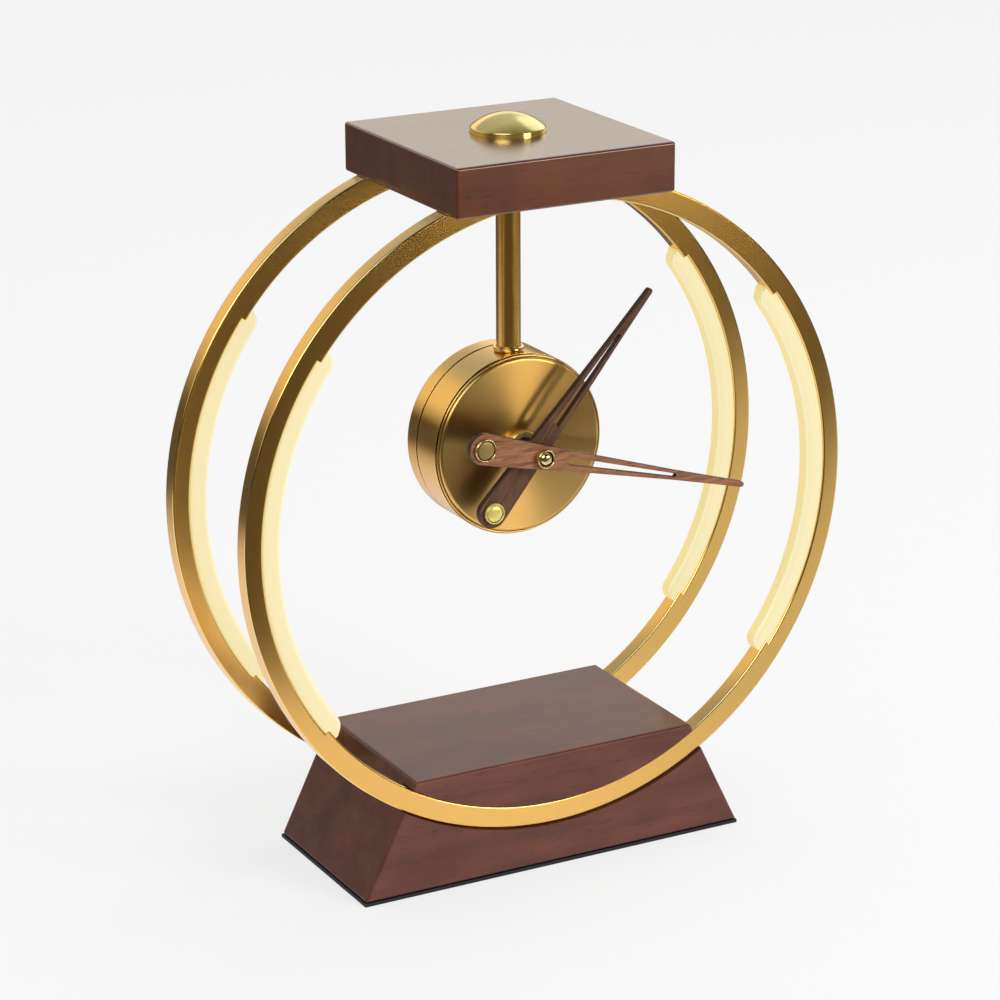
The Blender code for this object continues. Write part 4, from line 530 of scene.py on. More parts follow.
def flat_sided(data):
    """The mesh with its broad faces shaded flat, so that only the narrow rounded edges turn the light."""
    holder = bpy.data.objects.new("holder", data)
    bpy.context.scene.collection.objects.link(holder)
    weights = holder.modifiers.new("weights", "WEIGHTED_NORMAL")
    weights.keep_sharp = True
    bpy.context.view_layer.update()
    graph = bpy.context.evaluated_depsgraph_get()
    made = bpy.data.meshes.new_from_object(holder.evaluated_get(graph))
    bpy.data.objects.remove(holder, do_unlink=True)
    return made


def hung(name, data, finish, body, node, matrix):
    """Makes the mesh a piece of its body, in place of the node."""
    data.materials.clear()
    data.materials.append(finish)
    data.shade_smooth()
    data.set_sharp_from_angle(angle=SMOOTH_ANGLE)
    made = bpy.data.objects.new(name, flat_sided(data))
    bpy.context.scene.collection.objects.link(made)
    made.matrix_world = matrix
    bpy.context.view_layer.update()
    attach(made, body)
    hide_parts(node)


UPRIGHT = Matrix.Identity(4)
FRONT_TURN = Matrix.Rotation(math.radians(90.0), 4, "X")


def about_axis(x, y, z):
    """A place whose local Z points to the front, as on the clock's face."""
    return Matrix.Translation((x, y, z)) @ FRONT_TURN


def circle_points(steps):
    """The places of so many even steps round a circle of radius one."""
    angles = [step / steps * 2 * math.pi for step in range(steps)]
    return [(math.cos(angle), math.sin(angle)) for angle in angles]


def bridged(bm, rings, looped=True, closed=True):
    """Skins neighbouring rings of points: looped also the last to the first, closed also round each ring."""
    pairs = list(zip(rings, rings[1:]))
    if looped:
        pairs.append((rings[-1], rings[0]))
    for near, far in pairs:
        for index in range(len(near) if closed else len(near) - 1):
            after = (index + 1) % len(near)
            bm.faces.new((near[index], near[after], far[after], far[index]))


def softened(points, radius, closed=True):
    """The outline with each corner rounded off by about the radius, within its two sides."""
    made = []
    count = len(points)
    for index in range(count):
        here = Vector(points[index])
        if not closed and index in (0, count - 1):
            made.append(tuple(here))
            continue
        before = Vector(points[index - 1]) - here
        after = Vector(points[(index + 1) % count]) - here
        bend = before.angle(after)
        if bend > STRAIGHT_ANGLE:
            made.append(tuple(here))
            continue
        cut = min(radius, before.length * LONGEST_CUT, after.length * LONGEST_CUT)
        first = here + before.normalized() * cut
        last = here + after.normalized() * cut
        for step in range(CORNER_STEPS + 1):
            share = step / CORNER_STEPS
            made.append(tuple(first * (1 - share) ** 2 + here * (2 * share * (1 - share)) + last * share**2))
    return made


def turned_piece(
    name, finish, body, profile, matrix, node, soften=0.0, closed=True, steps=FINE_STEPS
):
    """A profile of (radius, height) pairs turned about local Z."""
    points = softened(profile, soften, closed=closed) if soften else profile
    bm = bmesh.new()
    rings = []
    for across, up in circle_points(steps):
        rings.append([bm.verts.new((radius * across, radius * up, height)) for radius, height in points])
    bridged(bm, rings, closed=closed)
    finished(name, bm, finish, body, node, matrix)


def swept_piece(name, finish, body, sections, matrix, node, looped=False):
    """A closed skin through sections that all have the same number of points."""
    bm = bmesh.new()
    rings = [[bm.verts.new(point) for point in section] for section in sections]
    bridged(bm, rings, looped)
    if not looped:
        bm.faces.new(rings[0])
        bm.faces.new(rings[-1])
    finished(name, bm, finish, body, node, matrix)


def round_section(profile, angle):
    across = math.cos(angle)
    up = math.sin(angle)
    return [(radius * across, radius * up, height) for radius, height in profile]


# The two rings, with a shallow ledge for each light
def ring_profile(inner):
    half = RING_WIDTH / 2
    corners = [(inner, -half), (RING_R, -half), (RING_R, half), (inner, half)]
    return softened(corners, RING_EDGE)


def make_ring(name, node, y):
    thick = ring_profile(RING_INNER_R)
    thin = ring_profile(LEDGE_R)
    sections = []
    spans = (
        (-LED_ANGLE, LED_ANGLE, thin),
        (LED_ANGLE, math.pi - LED_ANGLE, thick),
        (math.pi - LED_ANGLE, math.pi + LED_ANGLE, thin),
        (math.pi + LED_ANGLE, 2 * math.pi - LED_ANGLE, thick),
    )
    for start, end, profile in spans:
        steps = round((end - start) / RING_STEP_ANGLE)
        for step in range(steps + 1):
            sections.append(round_section(profile, start + (end - start) * step / steps))
    swept_piece(
        name, RING_BRASS, "stand", sections, about_axis(0, y, RING_Z), node, looped=True
    )


make_ring("front_ring", "ring_front", -RING_Y)
make_ring("rear_ring", "ring_rear", RING_Y)


# The four lights, with round ends that stand past the ledge
LIGHT_EDGE = 0.0004
LIGHT_ROUNDING = ((0.0024, 0.00008), (0.0012, 0.0005), (0.0005, 0.0012), (0.0001, 0.0022))
LIGHT_END_ROUND = 0.005
LIGHT_END_RISE = 0.8
LIGHT_END_SHARES = (1.0, 0.9985, 0.996, 0.992, 0.987, 0.981, 0.974, 0.966)
LIGHT_NEAR_END_SHARES = (0.944, 0.936, 0.926, 0.914, 0.90)
LIGHT_MIDDLE_STEPS = 60


def light_section(angle, lift, outer):
    """The cross-section of a light, its inner face lifted towards the ring near the ends."""
    half = LIGHT_WIDTH / 2
    inner = LIGHT_INNER_R + lift
    middle = (outer + inner) / 2
    profile = [(outer, GAP - half), (outer, half - GAP), (outer - LIGHT_EDGE, half), (middle, half)]
    profile += [(inner + rise, half - inset) for rise, inset in LIGHT_ROUNDING]
    profile.append((inner, 0.0))
    profile += [(inner + rise, inset - half) for rise, inset in reversed(LIGHT_ROUNDING)]
    profile += [(middle, -half), (outer - LIGHT_EDGE, -half)]
    return round_section(profile, angle)


def make_light(name, node, y, middle):
    rim = RING_INNER_R - GAP
    seat = LEDGE_R - GAP
    sections = []

    def lift_at(angle):
        """How far the inner face has curved back towards the ring at the light's end."""
        into = (LED_TIP_ANGLE - abs(angle)) * LIGHT_INNER_R
        if into >= LIGHT_END_ROUND:
            return 0.0
        share = 1 - max(into, 0.0) / LIGHT_END_ROUND
        return (rim - LIGHT_INNER_R) * LIGHT_END_RISE * (1 - math.sqrt(max(0.0, 1 - share**2)))

    def add_sections(angles, outer):
        for angle in angles:
            sections.append(light_section(middle + angle, lift_at(angle), outer))

    tips = [LED_TIP_ANGLE * share for share in LIGHT_END_SHARES]
    ends = [-angle for angle in tips if angle > LED_ANGLE]
    near_end = [LED_TIP_ANGLE * share for share in LIGHT_NEAR_END_SHARES]
    inner_ends = [LED_ANGLE - GAP / LEDGE_R, *near_end]
    steps = range(1, LIGHT_MIDDLE_STEPS)
    between = [near_end[-1] * (2 * step / LIGHT_MIDDLE_STEPS - 1) for step in steps]
    add_sections([*ends, -LED_ANGLE], rim)
    add_sections([-angle for angle in inner_ends], seat)
    add_sections(between, seat)
    add_sections(reversed(inner_ends), seat)
    add_sections([LED_ANGLE, *[-angle for angle in reversed(ends)]], rim)
    swept_piece(name, GLOW, "stand", sections, about_axis(0, y, RING_Z), node)


for ring_name, ring_y in (("front", -RING_Y), ("rear", RING_Y)):
    for side_name, side_angle in (("left", math.pi), ("right", 0.0)):
        label = ring_name + "_" + side_name
        make_light("light_" + label, "diffuser_" + label, ring_y, side_angle)


# Wooden block and base
def solid_block(low, high, top_low=None, top_high=None):
    bm = bmesh.new()
    bmesh.ops.create_cube(bm, size=1.0)
    for corner in bm.verts:
        is_top = corner.co.z > 0
        floor = top_low if is_top and top_low else low
        roof = top_high if is_top and top_high else high
        corner.co.x = roof[0] if corner.co.x > 0 else floor[0]
        corner.co.y = roof[1] if corner.co.y > 0 else floor[1]
        corner.co.z = high[2] if is_top else low[2]
    return bm


def from_bm(name, bm, matrix=UPRIGHT):
    data = bpy.data.meshes.new(name)
    bmesh.ops.recalc_face_normals(bm, faces=bm.faces)
    bm.to_mesh(data)
    bm.free()
    made = bpy.data.objects.new(name, data)
    bpy.context.scene.collection.objects.link(made)
    made.matrix_world = matrix
    return made


def hoop_cutter(name, inner, outer, low, high):
    """A square-edged hoop round the ring's axis, between two places along Y."""
    bm = bmesh.new()
    corners = ((inner, low), (outer, low), (outer, high), (inner, high))
    rings = []
    for across, up in circle_points(HOOP_STEPS):
        rings.append([bm.verts.new((r * across, y, RING_Z + r * up)) for r, y in corners])
    bridged(bm, rings)
    return from_bm(name, bm)


def disc_cutter(name, radius, low, high, matrix=UPRIGHT):
    """A plain cylinder along local Z, between two heights."""
    bm = bmesh.new()
    bmesh.ops.create_cone(
        bm,
        cap_ends=True,
        segments=ROD_STEPS,
        radius1=radius,
        radius2=radius,
        depth=high - low,
        matrix=Matrix.Translation((0, 0, (low + high) / 2)),
    )
    return from_bm(name, bm, matrix)


def carved(target, cutters):
    """The block with rounded edges and the cutters taken out, as a plain mesh."""
    bevel = target.modifiers.new("edges", "BEVEL")
    bevel.width = WOOD_EDGE
    bevel.segments = CORNER_STEPS
    bevel.limit_method = "ANGLE"
    for cutter in cutters:
        boolean = target.modifiers.new("cut", "BOOLEAN")
        boolean.operation = "DIFFERENCE"
        boolean.object = cutter
        boolean.solver = "EXACT"
    bpy.context.view_layer.update()
    graph = bpy.context.evaluated_depsgraph_get()
    data = bpy.data.meshes.new_from_object(target.evaluated_get(graph))
    for used in [target, *cutters]:
        bpy.data.objects.remove(used, do_unlink=True)
    return data


# Cuts in the wood, in metres
REBATE_END = 0.06
SOCKET_RECESS_R = 0.007
SOCKET_HOLE_R = 0.0041
SOCKET_BACK = -0.045
SOCKET_RECESS_FLOOR = -0.037
SOCKET_HOLE_FLOOR = -0.020
GROOVE_INNER_R = 0.12
BUTTON_SEAT_GAP = 0.00015
BUTTON_SEAT_DEPTH = 0.0052
CUT_PAST = 0.01


def make_wood():
    low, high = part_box("base_block")
    top_half = BASE_TOP_WIDTH / 2
    base = from_bm("base_start", solid_block(low, high, (-top_half, low.y), (top_half, high.y)))
    inside = RING_Y - RING_WIDTH / 2 - GAP
    socket = about_axis(SOCKET_X, 0, SOCKET_Z)
    cutters = [
        hoop_cutter("rebate_front", RING_INNER_R - GAP, RING_R + GAP, -REBATE_END, -inside),
        hoop_cutter("rebate_rear", RING_INNER_R - GAP, RING_R + GAP, inside, REBATE_END),
        disc_cutter("socket_recess", SOCKET_RECESS_R, SOCKET_BACK, SOCKET_RECESS_FLOOR, socket),
        disc_cutter("socket_hole", SOCKET_HOLE_R, SOCKET_BACK, SOCKET_HOLE_FLOOR, socket),
    ]
    data = carved(base, cutters)
    hung("base_wood_block", data, BASE_WOOD, "stand", "base_block", UPRIGHT)

    low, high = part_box("top_block")
    block = from_bm("block_start", solid_block(low, high))
    half = RING_WIDTH / 2 + GAP
    seat_low = BLOCK_TOP - BUTTON_SEAT_DEPTH
    cutters = [
        hoop_cutter("groove_front", GROOVE_INNER_R, RING_R + GAP, -RING_Y - half, -RING_Y + half),
        hoop_cutter("groove_rear", GROOVE_INNER_R, RING_R + GAP, RING_Y - half, RING_Y + half),
        disc_cutter("button_seat", BUTTON_R + BUTTON_SEAT_GAP, seat_low, BLOCK_TOP + CUT_PAST),
        disc_cutter("rod_seat", ROD_R + GAP, BLOCK_BOTTOM - CUT_PAST, BLOCK_TOP),
    ]
    data = carved(block, cutters)
    hung("top_wood_block", data, BLOCK_WOOD, "stand", "top_block", UPRIGHT)


make_wood()


# Rod, drum and dial
def make_drum():
    low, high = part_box("rod")
    turned_piece(
        "hanging_rod",
        ROD_BRASS,
        "stand",
        [(ROD_BORE_R, high.z), (ROD_R, high.z), (ROD_R, low.z), (ROD_BORE_R, low.z)],
        UPRIGHT,
        "rod",
        steps=ROD_STEPS,
    )
    face = about_axis(0, 0, DRUM_Z)
    turned_piece(
        "drum_wall",
        DRUM_BRASS,
        "stand",
        [
            (DRUM_INNER_R, DIAL_BACK - GAP),
            (DRUM_R, DIAL_BACK - GAP),
            (DRUM_R, DRUM_SEAM + SEAM_GROOVE),
            (DRUM_INNER_R, DRUM_SEAM + SEAM_GROOVE),
        ],
        face,
        "drum_body",
        soften=0.00015,
    )
    turned_piece(
        "dial_disc",
        DIAL_BRASS,
        "stand",
        [
            (DIAL_BORE_R, DIAL_FRONT),
            (0.0200, DIAL_FRONT),
            (0.0374, DIAL_FRONT),
            (0.0379, DIAL_FRONT - 0.0001),
            (0.0383, DIAL_FRONT - 0.00035),
            (0.0386, DIAL_FRONT - 0.0008),
            (0.03865, DIAL_FRONT - 0.0011),
            (0.0389, DIAL_FRONT - 0.0009),
            (0.0393, DIAL_FRONT - 0.0009),
            (0.0396, DIAL_FRONT - 0.0011),
            (0.0397, DIAL_BACK + RIM_GROOVE),
            (DRUM_INNER_R, DIAL_BACK + RIM_GROOVE),
            (DRUM_INNER_R, DIAL_BACK),
            (SPIGOT_R, DIAL_BACK),
            (SPIGOT_R, DIAL_BACK - SPIGOT_LENGTH),
            (SPIGOT_INNER_R, DIAL_BACK - SPIGOT_LENGTH),
            (SPIGOT_INNER_R, DIAL_BACK),
            (DIAL_BORE_R, DIAL_BACK),
        ],
        face,
        "dial_plate",
        soften=0.0002,
        steps=DIAL_STEPS,
    )
    turned_piece(
        "drum_rear_cap",
        DRUM_BRASS,
        "cap",
        [
            (0.0, DRUM_BACK + CAP_WALL),
            (SPIGOT_INNER_R, DRUM_BACK + CAP_WALL),
            (SPIGOT_INNER_R, DRUM_SEAM + SPIGOT_LENGTH),
            (SPIGOT_R, DRUM_SEAM + SPIGOT_LENGTH),
            (SPIGOT_R, DRUM_SEAM),
            (DRUM_R, DRUM_SEAM),
            (DRUM_R, DRUM_BACK + 0.0009),
            (DRUM_R - 0.0003, DRUM_BACK + 0.0003),
            (DRUM_R - 0.0009, DRUM_BACK),
            (0.0, DRUM_BACK),
        ],
        face,
        "rear_cap",
        soften=0.0003,
        closed=False,
    )


make_drum()


# Small turned brass: nuts, caps and the dome. Their fine profiles are in metres
DOME_STEPS = 24
STEM_R = 0.0015


def make_small_brass():
    face = about_axis(0, 0, DRUM_Z)
    nut_low = DIAL_FRONT + GAP
    turned_piece(
        "dial_nut_fine",
        HUB_BRASS,
        "stand",
        [
            (DIAL_BORE_R, nut_low + 0.0032),
            (0.0052, nut_low + 0.0032),
            (0.0066, nut_low + 0.0031),
            (DIAL_NUT_R, nut_low + 0.0024),
            (DIAL_NUT_R, nut_low),
            (DIAL_BORE_R, nut_low),
        ],
        face,
        "dial_nut",
        soften=0.0003,
        steps=SMALL_STEPS,
    )
    low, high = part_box("hand_nut")
    front = -low.y
    back = -high.y
    turned_piece(
        "hub_nut",
        NUT_BRASS,
        "minute",
        [
            (0.0, front),
            (0.0010, front - 0.0001),
            (0.0018, front - 0.0003),
            (0.0024, front - 0.0007),
            (0.0029, front - 0.0014),
            (0.0033, front - 0.0014),
            (0.0035, front - 0.0007),
            (0.0038, front - 0.0005),
            (0.0041, front - 0.0008),
            (0.00415, back),
            (0.0016, back),
        ],
        face,
        "hand_nut",
        soften=0.0002,
        closed=False,
        steps=SMALL_STEPS,
    )
    low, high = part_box("minute_hand_cap")
    middle = (low + high) / 2
    height = high.y - low.y
    place = about_axis(middle.x, high.y, middle.z)
    turned_piece(
        "minute_cap_ring",
        BRIGHT_BRASS,
        "minute",
        [
            (0.0042, height - 0.0011),
            (0.0043, height - 0.0003),
            (0.0046, height),
            (0.0049, height - 0.0003),
            (0.005, height - 0.0007),
            (0.005, 0.0),
            (0.0042, 0.0),
        ],
        place,
        "minute_hand_cap",
        soften=0.0002,
        steps=SMALL_STEPS,
    )
    turned_piece(
        "minute_cap_disc",
        RECESS_BRASS,
        "minute",
        [(0.0, height - 0.0003), (0.0032, height - 0.00035), (0.0038, height - 0.0006), (0.0038, 0.0)],
        place,
        "minute_hand_cap",
        closed=False,
        steps=SMALL_STEPS,
    )
    low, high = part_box("hour_hand_cap")
    middle = (low + high) / 2
    height = high.y - low.y
    turned_piece(
        "hour_cap",
        CAP_BRASS,
        "hour",
        [
            (0.0, height - 0.0001),
            (0.0020, height - 0.0002),
            (0.0034, height - 0.0005),
            (0.0037, height - 0.0008),
            (0.0039, height - 0.0003),
            (0.0042, height),
            (0.0045, height - 0.0003),
            (0.0046, height - 0.0007),
            (0.0046, 0.0),
            (0.0, 0.0),
        ],
        about_axis(middle.x, high.y, middle.z),
        "hour_hand_cap",
        soften=0.0002,
        closed=False,
        steps=SMALL_STEPS,
    )
    low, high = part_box("rod_collar")
    turned_piece(
        "rod_ring",
        BRIGHT_BRASS,
        "stand",
        [
            (0.0055, high.z),
            (0.0062, high.z),
            (0.0067, high.z - 0.0004),
            (0.0068, high.z - 0.0009),
            (0.0067, high.z - 0.0014),
            (0.0063, high.z - 0.0020),
            (0.0055, high.z - 0.0020),
        ],
        UPRIGHT,
        "rod_collar",
        soften=0.0002,
        steps=ROD_STEPS,
    )
    rim_top = BLOCK_TOP + BUTTON_RIM_HEIGHT
    dome_r = (BUTTON_R**2 + DOME_HEIGHT**2) / 2 / DOME_HEIGHT
    centre_z = rim_top + DOME_HEIGHT - dome_r
    profile = []
    for step in range(DOME_STEPS + 1):
        reach = (BUTTON_R - 0.0003) * step / DOME_STEPS
        profile.append((reach, centre_z + math.sqrt(dome_r**2 - reach**2)))
    profile += [
        (BUTTON_R, rim_top - 0.0002),
        (BUTTON_R, BLOCK_TOP - 0.0016),
        (BUTTON_R - 0.0012, BLOCK_TOP - 0.0016),
        (BUTTON_R - 0.0012, BLOCK_TOP + 0.0005),
        (STEM_R, BLOCK_TOP + 0.0069),
        (STEM_R, BLOCK_TOP - 0.006),
        (0.0, BLOCK_TOP - 0.006),
    ]
    turned_piece(
        "dome_button",
        DOME_BRASS,
        "button",
        profile,
        UPRIGHT,
        "light_button",
        closed=False,
    )


make_small_brass()


# Hands: an outline with a round tail and tip, a long slot and a bore
TAIL_R = 0.0068
TAIL_STEPS = 24
HUB_HALF_WIDTH = 0.0053
SLOT_START_HALF_WIDTH = 0.0044
SLOT_END_HALF_WIDTH = 0.00205
TIP_R = 0.0012
TIP_STEPS = 8
SLOT_HALF_WIDTH = 0.0017
SLOT_TIP_R = 0.0008
BORE_STEPS = 48
HAND_WELD_DISTANCE = 0.000001


def half_circle(y, radius, start, steps):
    angles = [start + step / steps * math.pi for step in range(steps + 1)]
    return [(radius * math.cos(angle), y + radius * math.sin(angle)) for angle in angles]


def hand_outline(length, tail, slot_start, slot_end):
    right = [(HUB_HALF_WIDTH, 0.0), (SLOT_START_HALF_WIDTH, slot_start), (SLOT_END_HALF_WIDTH, slot_end)]
    points = half_circle(-tail, TAIL_R, math.pi, TAIL_STEPS) + right
    points += half_circle(length - TIP_R, TIP_R, 0.0, TIP_STEPS)
    points += [(-x, y) for x, y in reversed(right)]
    return points


def slot_outline(start, end):
    points = [(-SLOT_HALF_WIDTH, start), (SLOT_HALF_WIDTH, start)]
    return points + half_circle(end - SLOT_TIP_R, SLOT_TIP_R, 0.0, TIP_STEPS)


def make_hand(name, node, finish, body, front, length, tail, slot_start, slot_end, angle, bore):
    """A flat hand with rounded edges, turned clockwise from twelve by the angle."""
    curve = bpy.data.curves.new(name, "CURVE")
    curve.dimensions = "2D"
    curve.fill_mode = "BOTH"
    curve.extrude = HAND_THICKNESS / 2 - HAND_EDGE
    curve.bevel_depth = HAND_EDGE
    curve.bevel_resolution = 2
    curve.offset = -HAND_EDGE
    hole = [(bore * across, bore * up) for across, up in circle_points(BORE_STEPS)]
    for outline in (
        hand_outline(length, tail, slot_start, slot_end), slot_outline(slot_start, slot_end), hole
    ):
        spline = curve.splines.new("POLY")
        spline.points.add(len(outline) - 1)
        spline.use_cyclic_u = True
        for point, (x, y) in zip(spline.points, outline):
            point.co = (x, y, 0, 1)
    guide = bpy.data.objects.new(name + "_guide", curve)
    bpy.context.scene.collection.objects.link(guide)
    bpy.context.view_layer.update()
    graph = bpy.context.evaluated_depsgraph_get()
    data = bpy.data.meshes.new_from_object(guide.evaluated_get(graph))
    bpy.data.objects.remove(guide, do_unlink=True)
    bm = bmesh.new()
    bm.from_mesh(data)
    bmesh.ops.remove_doubles(bm, verts=bm.verts, dist=HAND_WELD_DISTANCE)
    bm.to_mesh(data)
    bm.free()
    matrix = (
        about_axis(0, 0, DRUM_Z)
        @ Matrix.Rotation(-angle, 4, "Z")
        @ Matrix.Translation((0, 0, front - HAND_THICKNESS / 2))
    )
    hung(name, data, finish, body, node, matrix)


make_hand(
    "minute_hand_wood",
    "minute_hand",
    MINUTE_WALNUT,
    "minute",
    front=0.031,
    length=0.104,
    tail=0.0293,
    slot_start=0.0133,
    slot_end=0.068,
    angle=math.radians(105.6),
    bore=0.0018,
)
make_hand(
    "hour_hand_wood",
    "hour_hand",
    HOUR_WALNUT,
    "hour",
    front=0.024,
    length=0.0858,
    tail=0.031,
    slot_start=0.015,
    slot_end=0.062,
    angle=math.radians(41.2),
    bore=0.0029,
)


# Nodes that keep their own shape
KEPT = {
    "base_pad": PAD,
    "base_plate": BLACK,
    "battery": BATTERY,
    "button_spring": STEEL,
    "charger_board": BOARD,
    "charger_coil": COPPER,
    "charger_ferrite": FERRITE,
    "charger_holder": WHITE,
    "hour_wheel": BRIGHT_BRASS,
    "minute_shaft": BRIGHT_BRASS,
    "motion_wheel": BRIGHT_BRASS,
    "movement_board": BOARD,
    "movement_case_front": BLACK,
    "movement_case_rear": BLACK,
    "power_inlet": BLACK,
    "setting_knob": WHITE,
    "step_motor": WHITE,
    "switch_board": BOARD,
    "switch_body": BLACK,
    "train_plate": BLACK,
}
for node_name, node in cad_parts.items():
    if node_name in KEPT:
        finish = KEPT[node_name]
    elif "wire" in node_name:
        finish = WIRE
    elif node_name.startswith("led_strip"):
        finish = WHITE
    else:
        finish = STEEL
    for slot_index in range(len(node.data.materials)):
        node.data.materials[slot_index] = finish


# Studio: a pale floor, a lit room and soft lamps. Metal sees the floor as a white table on a dark floor
BACKGROUND = (0.93, 0.93, 0.93)
FLOOR_SIZE = 20.0
FLOOR_DROP = 0.00002
TABLE_FRONT = 0.277
TABLE_BACK = 0.31
TABLE_SIDE = 0.85
TABLE_BLUR = 0.035
BACK_BLUR = 0.11
VIEW_AZIMUTH = math.radians(-22.0)
PATCH_X = 0.83
PATCH_Y = -0.57
TOWARDS = (0.53, -0.85, 0.0)
BESIDE = (0.85, 0.53, 0.0)
OVERHEAD = (0.15, 0.0, 1.0)
ROOM_TINT = (1.0, 0.94, 0.80)
OVERHEAD_TINT = (0.36, 0.44, 0.66)
SOFTBOXES = (((-0.55, -0.55, 0.63), 0.90, 4.5), ((0.75, 0.35, 0.55), 0.91, 1.9))
SOFTBOX_BLUR = 0.04
STRIP_LEVEL = 11.0
ROOM_LIGHT = 0.62


def floor_material():
    """White to the camera, with the clock's shadow; in the metal its far parts are dark."""
    graph = Surface("pale_floor")
    rays = graph.add("LightPath").outputs
    shows = graph.math("MAXIMUM", rays["Is Camera Ray"], rays["Is Glossy Ray"])
    shows = graph.math("MAXIMUM", shows, rays["Is Transmission Ray"])
    grain = graph.noise(graph.place(scale=(3.0, 3.0, 3.0)), detail=2.0)
    matt = graph.mix(graph.span(grain, 0.3, 0.7), (0.78, 0.78, 0.78), (0.80, 0.80, 0.80))

    # The table, squared to the view
    x, y = graph.axes(graph.place(turn=(0.0, 0.0, -VIEW_AZIMUTH)))[:2]
    front = graph.span(y, -TABLE_FRONT - TABLE_BLUR, -TABLE_FRONT + TABLE_BLUR)
    back = graph.span(y, TABLE_BACK - BACK_BLUR, TABLE_BACK + BACK_BLUR, 1.0, 0.0)
    wide = graph.math("ABSOLUTE", x)
    side = graph.span(wide, TABLE_SIDE - TABLE_BLUR, TABLE_SIDE + TABLE_BLUR, 1.0, 0.0)
    table = graph.times(graph.times(front, back), side)
    dim = graph.times(graph.math("SUBTRACT", 1.0, table), rays["Is Glossy Ray"])
    graph.set(
        base_color=graph.mix(shows, matt, graph.mix(dim, (0.22, 0.22, 0.22), (0.01, 0.01, 0.01))),
        roughness=1.0,
        specular_ior_level=0.0,
    )
    white_top = graph.mix(graph.span(x, 0.06, 0.22), (0.78, 0.77, 0.92), (0.50, 0.56, 0.72))
    lit = graph.mix(rays["Is Glossy Ray"], (0.71, 0.71, 0.71), white_top)

    # The dark floor beyond it, with a small patch of light and a faint run of it to the front
    across = graph.span(graph.math("ABSOLUTE", graph.math("SUBTRACT", x, PATCH_X)), 0.09, 0.15, 1.0, 0.0)
    deep = graph.span(graph.math("ABSOLUTE", graph.math("SUBTRACT", y, PATCH_Y)), 0.02, 0.06, 1.0, 0.0)
    far = graph.mix(graph.span(y, -0.1, 0.3), (0.094, 0.079, 0.065), (0.110, 0.102, 0.10))
    far = graph.mix(graph.times(across, deep), far, (0.50, 0.45, 0.40))
    here = graph.place()
    ahead = graph.along(here, TOWARDS)
    aside = graph.math("ABSOLUTE", graph.along(here, BESIDE))
    aside = graph.math("SUBTRACT", aside, graph.times(ahead, 0.12))
    run = graph.times(graph.span(aside, 0.0, 0.08, 1.0, 0.0), graph.span(ahead, 1.15, 1.35))
    far = graph.mix(run, far, (0.32, 0.29, 0.26))
    return graph.set(emission_color=graph.mix(dim, lit, far), emission_strength=shows)


def make_floor():
    bm = bmesh.new()
    bmesh.ops.create_grid(bm, x_segments=2, y_segments=2, size=FLOOR_SIZE)
    floor = from_bm("floor", bm, Matrix.Translation((0, 0, -FLOOR_DROP)))
    floor.data.materials.append(floor_material())


def area_light(name, place, target, size, power):
    """A square lamp that lights the clock but doesn't show in its gloss."""
    data = bpy.data.lights.new(name, "AREA")
    data.shape = "RECTANGLE"
    data.size = size
    data.size_y = size
    data.energy = power
    made = bpy.data.objects.new(name, data)
    bpy.context.scene.collection.objects.link(made)
    made.location = place
    made.rotation_euler = (Vector(target) - Vector(place)).to_track_quat("-Z", "Y").to_euler()
    made.visible_glossy = False


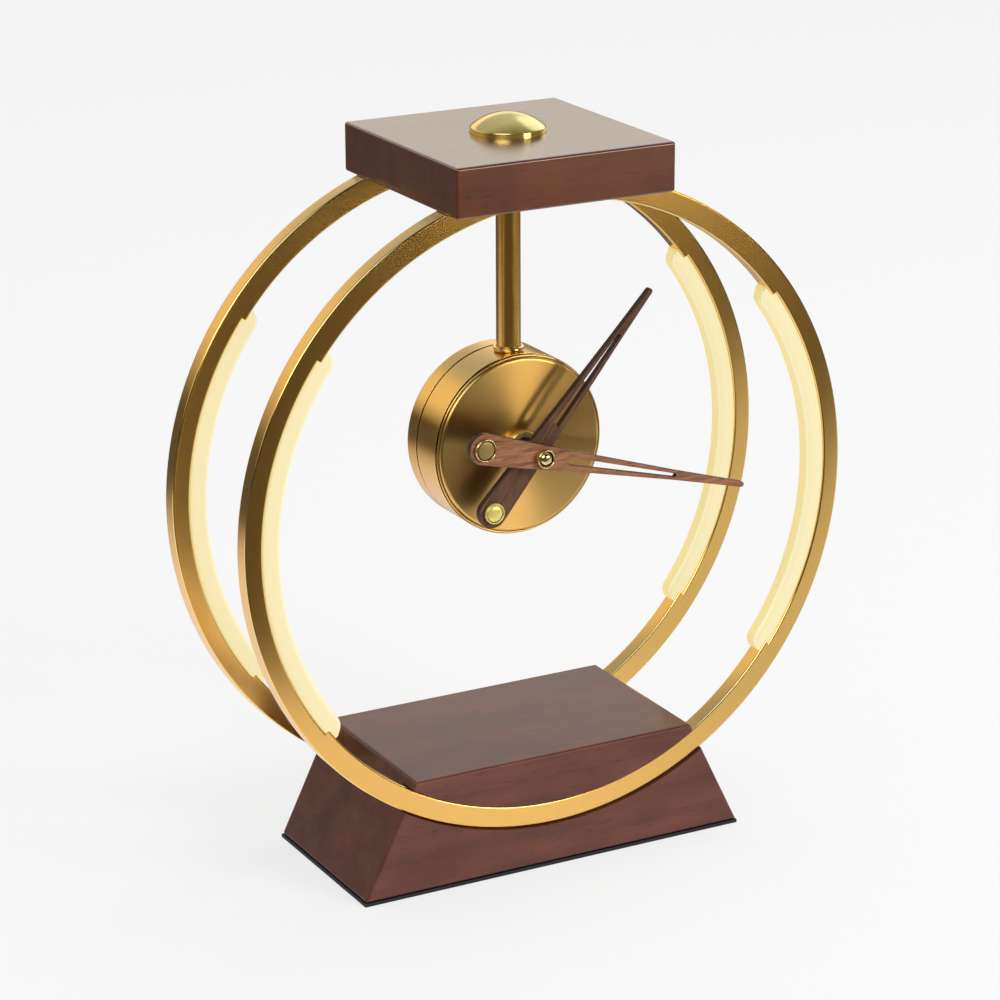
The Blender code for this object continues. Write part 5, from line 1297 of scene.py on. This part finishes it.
def make_world():
    """White to the camera and for light. In the metal the room is bright behind and dark in front."""
    world = bpy.data.worlds.new("studio")
    bpy.context.scene.world = world
    world.use_nodes = True
    graph = Graph(world.node_tree)
    place = graph.coordinate("Generated")
    x, y, z = graph.axes(place)
    behind = graph.span(y, -0.1, 0.4, 0.06, 1.0)
    above = graph.span(z, 0.02, 0.24, 0.05, 1.14)
    right = graph.span(x, -0.2, 0.4, 0.9, 1.2)
    lit = graph.times(graph.times(behind, above), right)
    for direction, edge, level in SOFTBOXES:
        facing = graph.along(place, Vector(direction).normalized())
        lit = graph.plus(lit, graph.span(facing, edge, edge + SOFTBOX_BLUR, 0.0, level))

    # A bright strip low in front, which makes the fans on the dial
    beside = graph.along(place, BESIDE)
    strip = graph.times(graph.span(beside, -0.22, -0.12), graph.span(beside, 0.12, 0.22, 1.0, 0.0))
    strip = graph.times(strip, graph.span(graph.along(place, TOWARDS), 0.2, 0.4))
    strip = graph.times(strip, graph.span(z, -0.01, 0.01, 0.0, STRIP_LEVEL))
    strip = graph.times(strip, graph.span(z, 0.12, 0.24, 1.0, 0.0))

    overhead = graph.span(graph.along(place, OVERHEAD), 0.45, 0.49)
    tint = graph.mix(overhead, ROOM_TINT, OVERHEAD_TINT)
    room = graph.add("Background", {"Color": tint, "Strength": graph.plus(lit, strip)})
    light = graph.tree.nodes["Background"]
    light.inputs["Color"].default_value = (1.0, 1.0, 1.0, 1.0)
    light.inputs["Strength"].default_value = ROOM_LIGHT
    white = graph.add("Background", {"Color": (*BACKGROUND, 1.0)})
    rays = graph.add("LightPath").outputs
    gloss = graph.add("MixShader", {0: rays["Is Glossy Ray"], 1: light.outputs[0], 2: room.outputs[0]})
    seen = graph.add("MixShader", {0: rays["Is Camera Ray"], 1: gloss.outputs[0], 2: white.outputs[0]})
    graph.feed(graph.tree.nodes["World Output"].inputs["Surface"], seen.outputs[0])


make_floor()
area_light("key_lamp", place=(1.60, -2.50, 1.35), target=(0, 0, 0.15), size=1.1, power=64.0)
area_light("top_lamp", place=(0.8, 0.3, 3.2), target=(0, 0, 0.2), size=1.6, power=26.0)
make_world()

# Camera at the photograph's place
TARGET = Vector((-0.00442, 0.0, 0.15564))
CAMERA_DISTANCE = 1.48506
AZIMUTH = math.radians(-28.334)
ELEVATION = math.radians(18.478)
ROLL = math.radians(-0.246)
LENS_MM = 123.97
SENSOR_MM = 36.0
NEAREST = 0.05
FARTHEST = 60.0


def make_camera():
    lens = bpy.data.cameras.new("camera")
    lens.lens = LENS_MM
    lens.sensor_width = SENSOR_MM
    lens.clip_start = NEAREST
    lens.clip_end = FARTHEST
    camera = bpy.data.objects.new("camera", lens)
    bpy.context.scene.collection.objects.link(camera)
    level = math.cos(ELEVATION)
    back = Vector((math.sin(AZIMUTH) * level, -math.cos(AZIMUTH) * level, math.sin(ELEVATION)))
    camera.rotation_mode = "QUATERNION"
    camera.location = TARGET + back * CAMERA_DISTANCE
    camera.rotation_quaternion = (
        (-back).to_track_quat("-Z", "Y") @ Matrix.Rotation(ROLL, 3, "Z").to_quaternion()
    )
    bpy.context.scene.camera = camera


make_camera()
bpy.context.scene.view_settings.view_transform = "Standard"
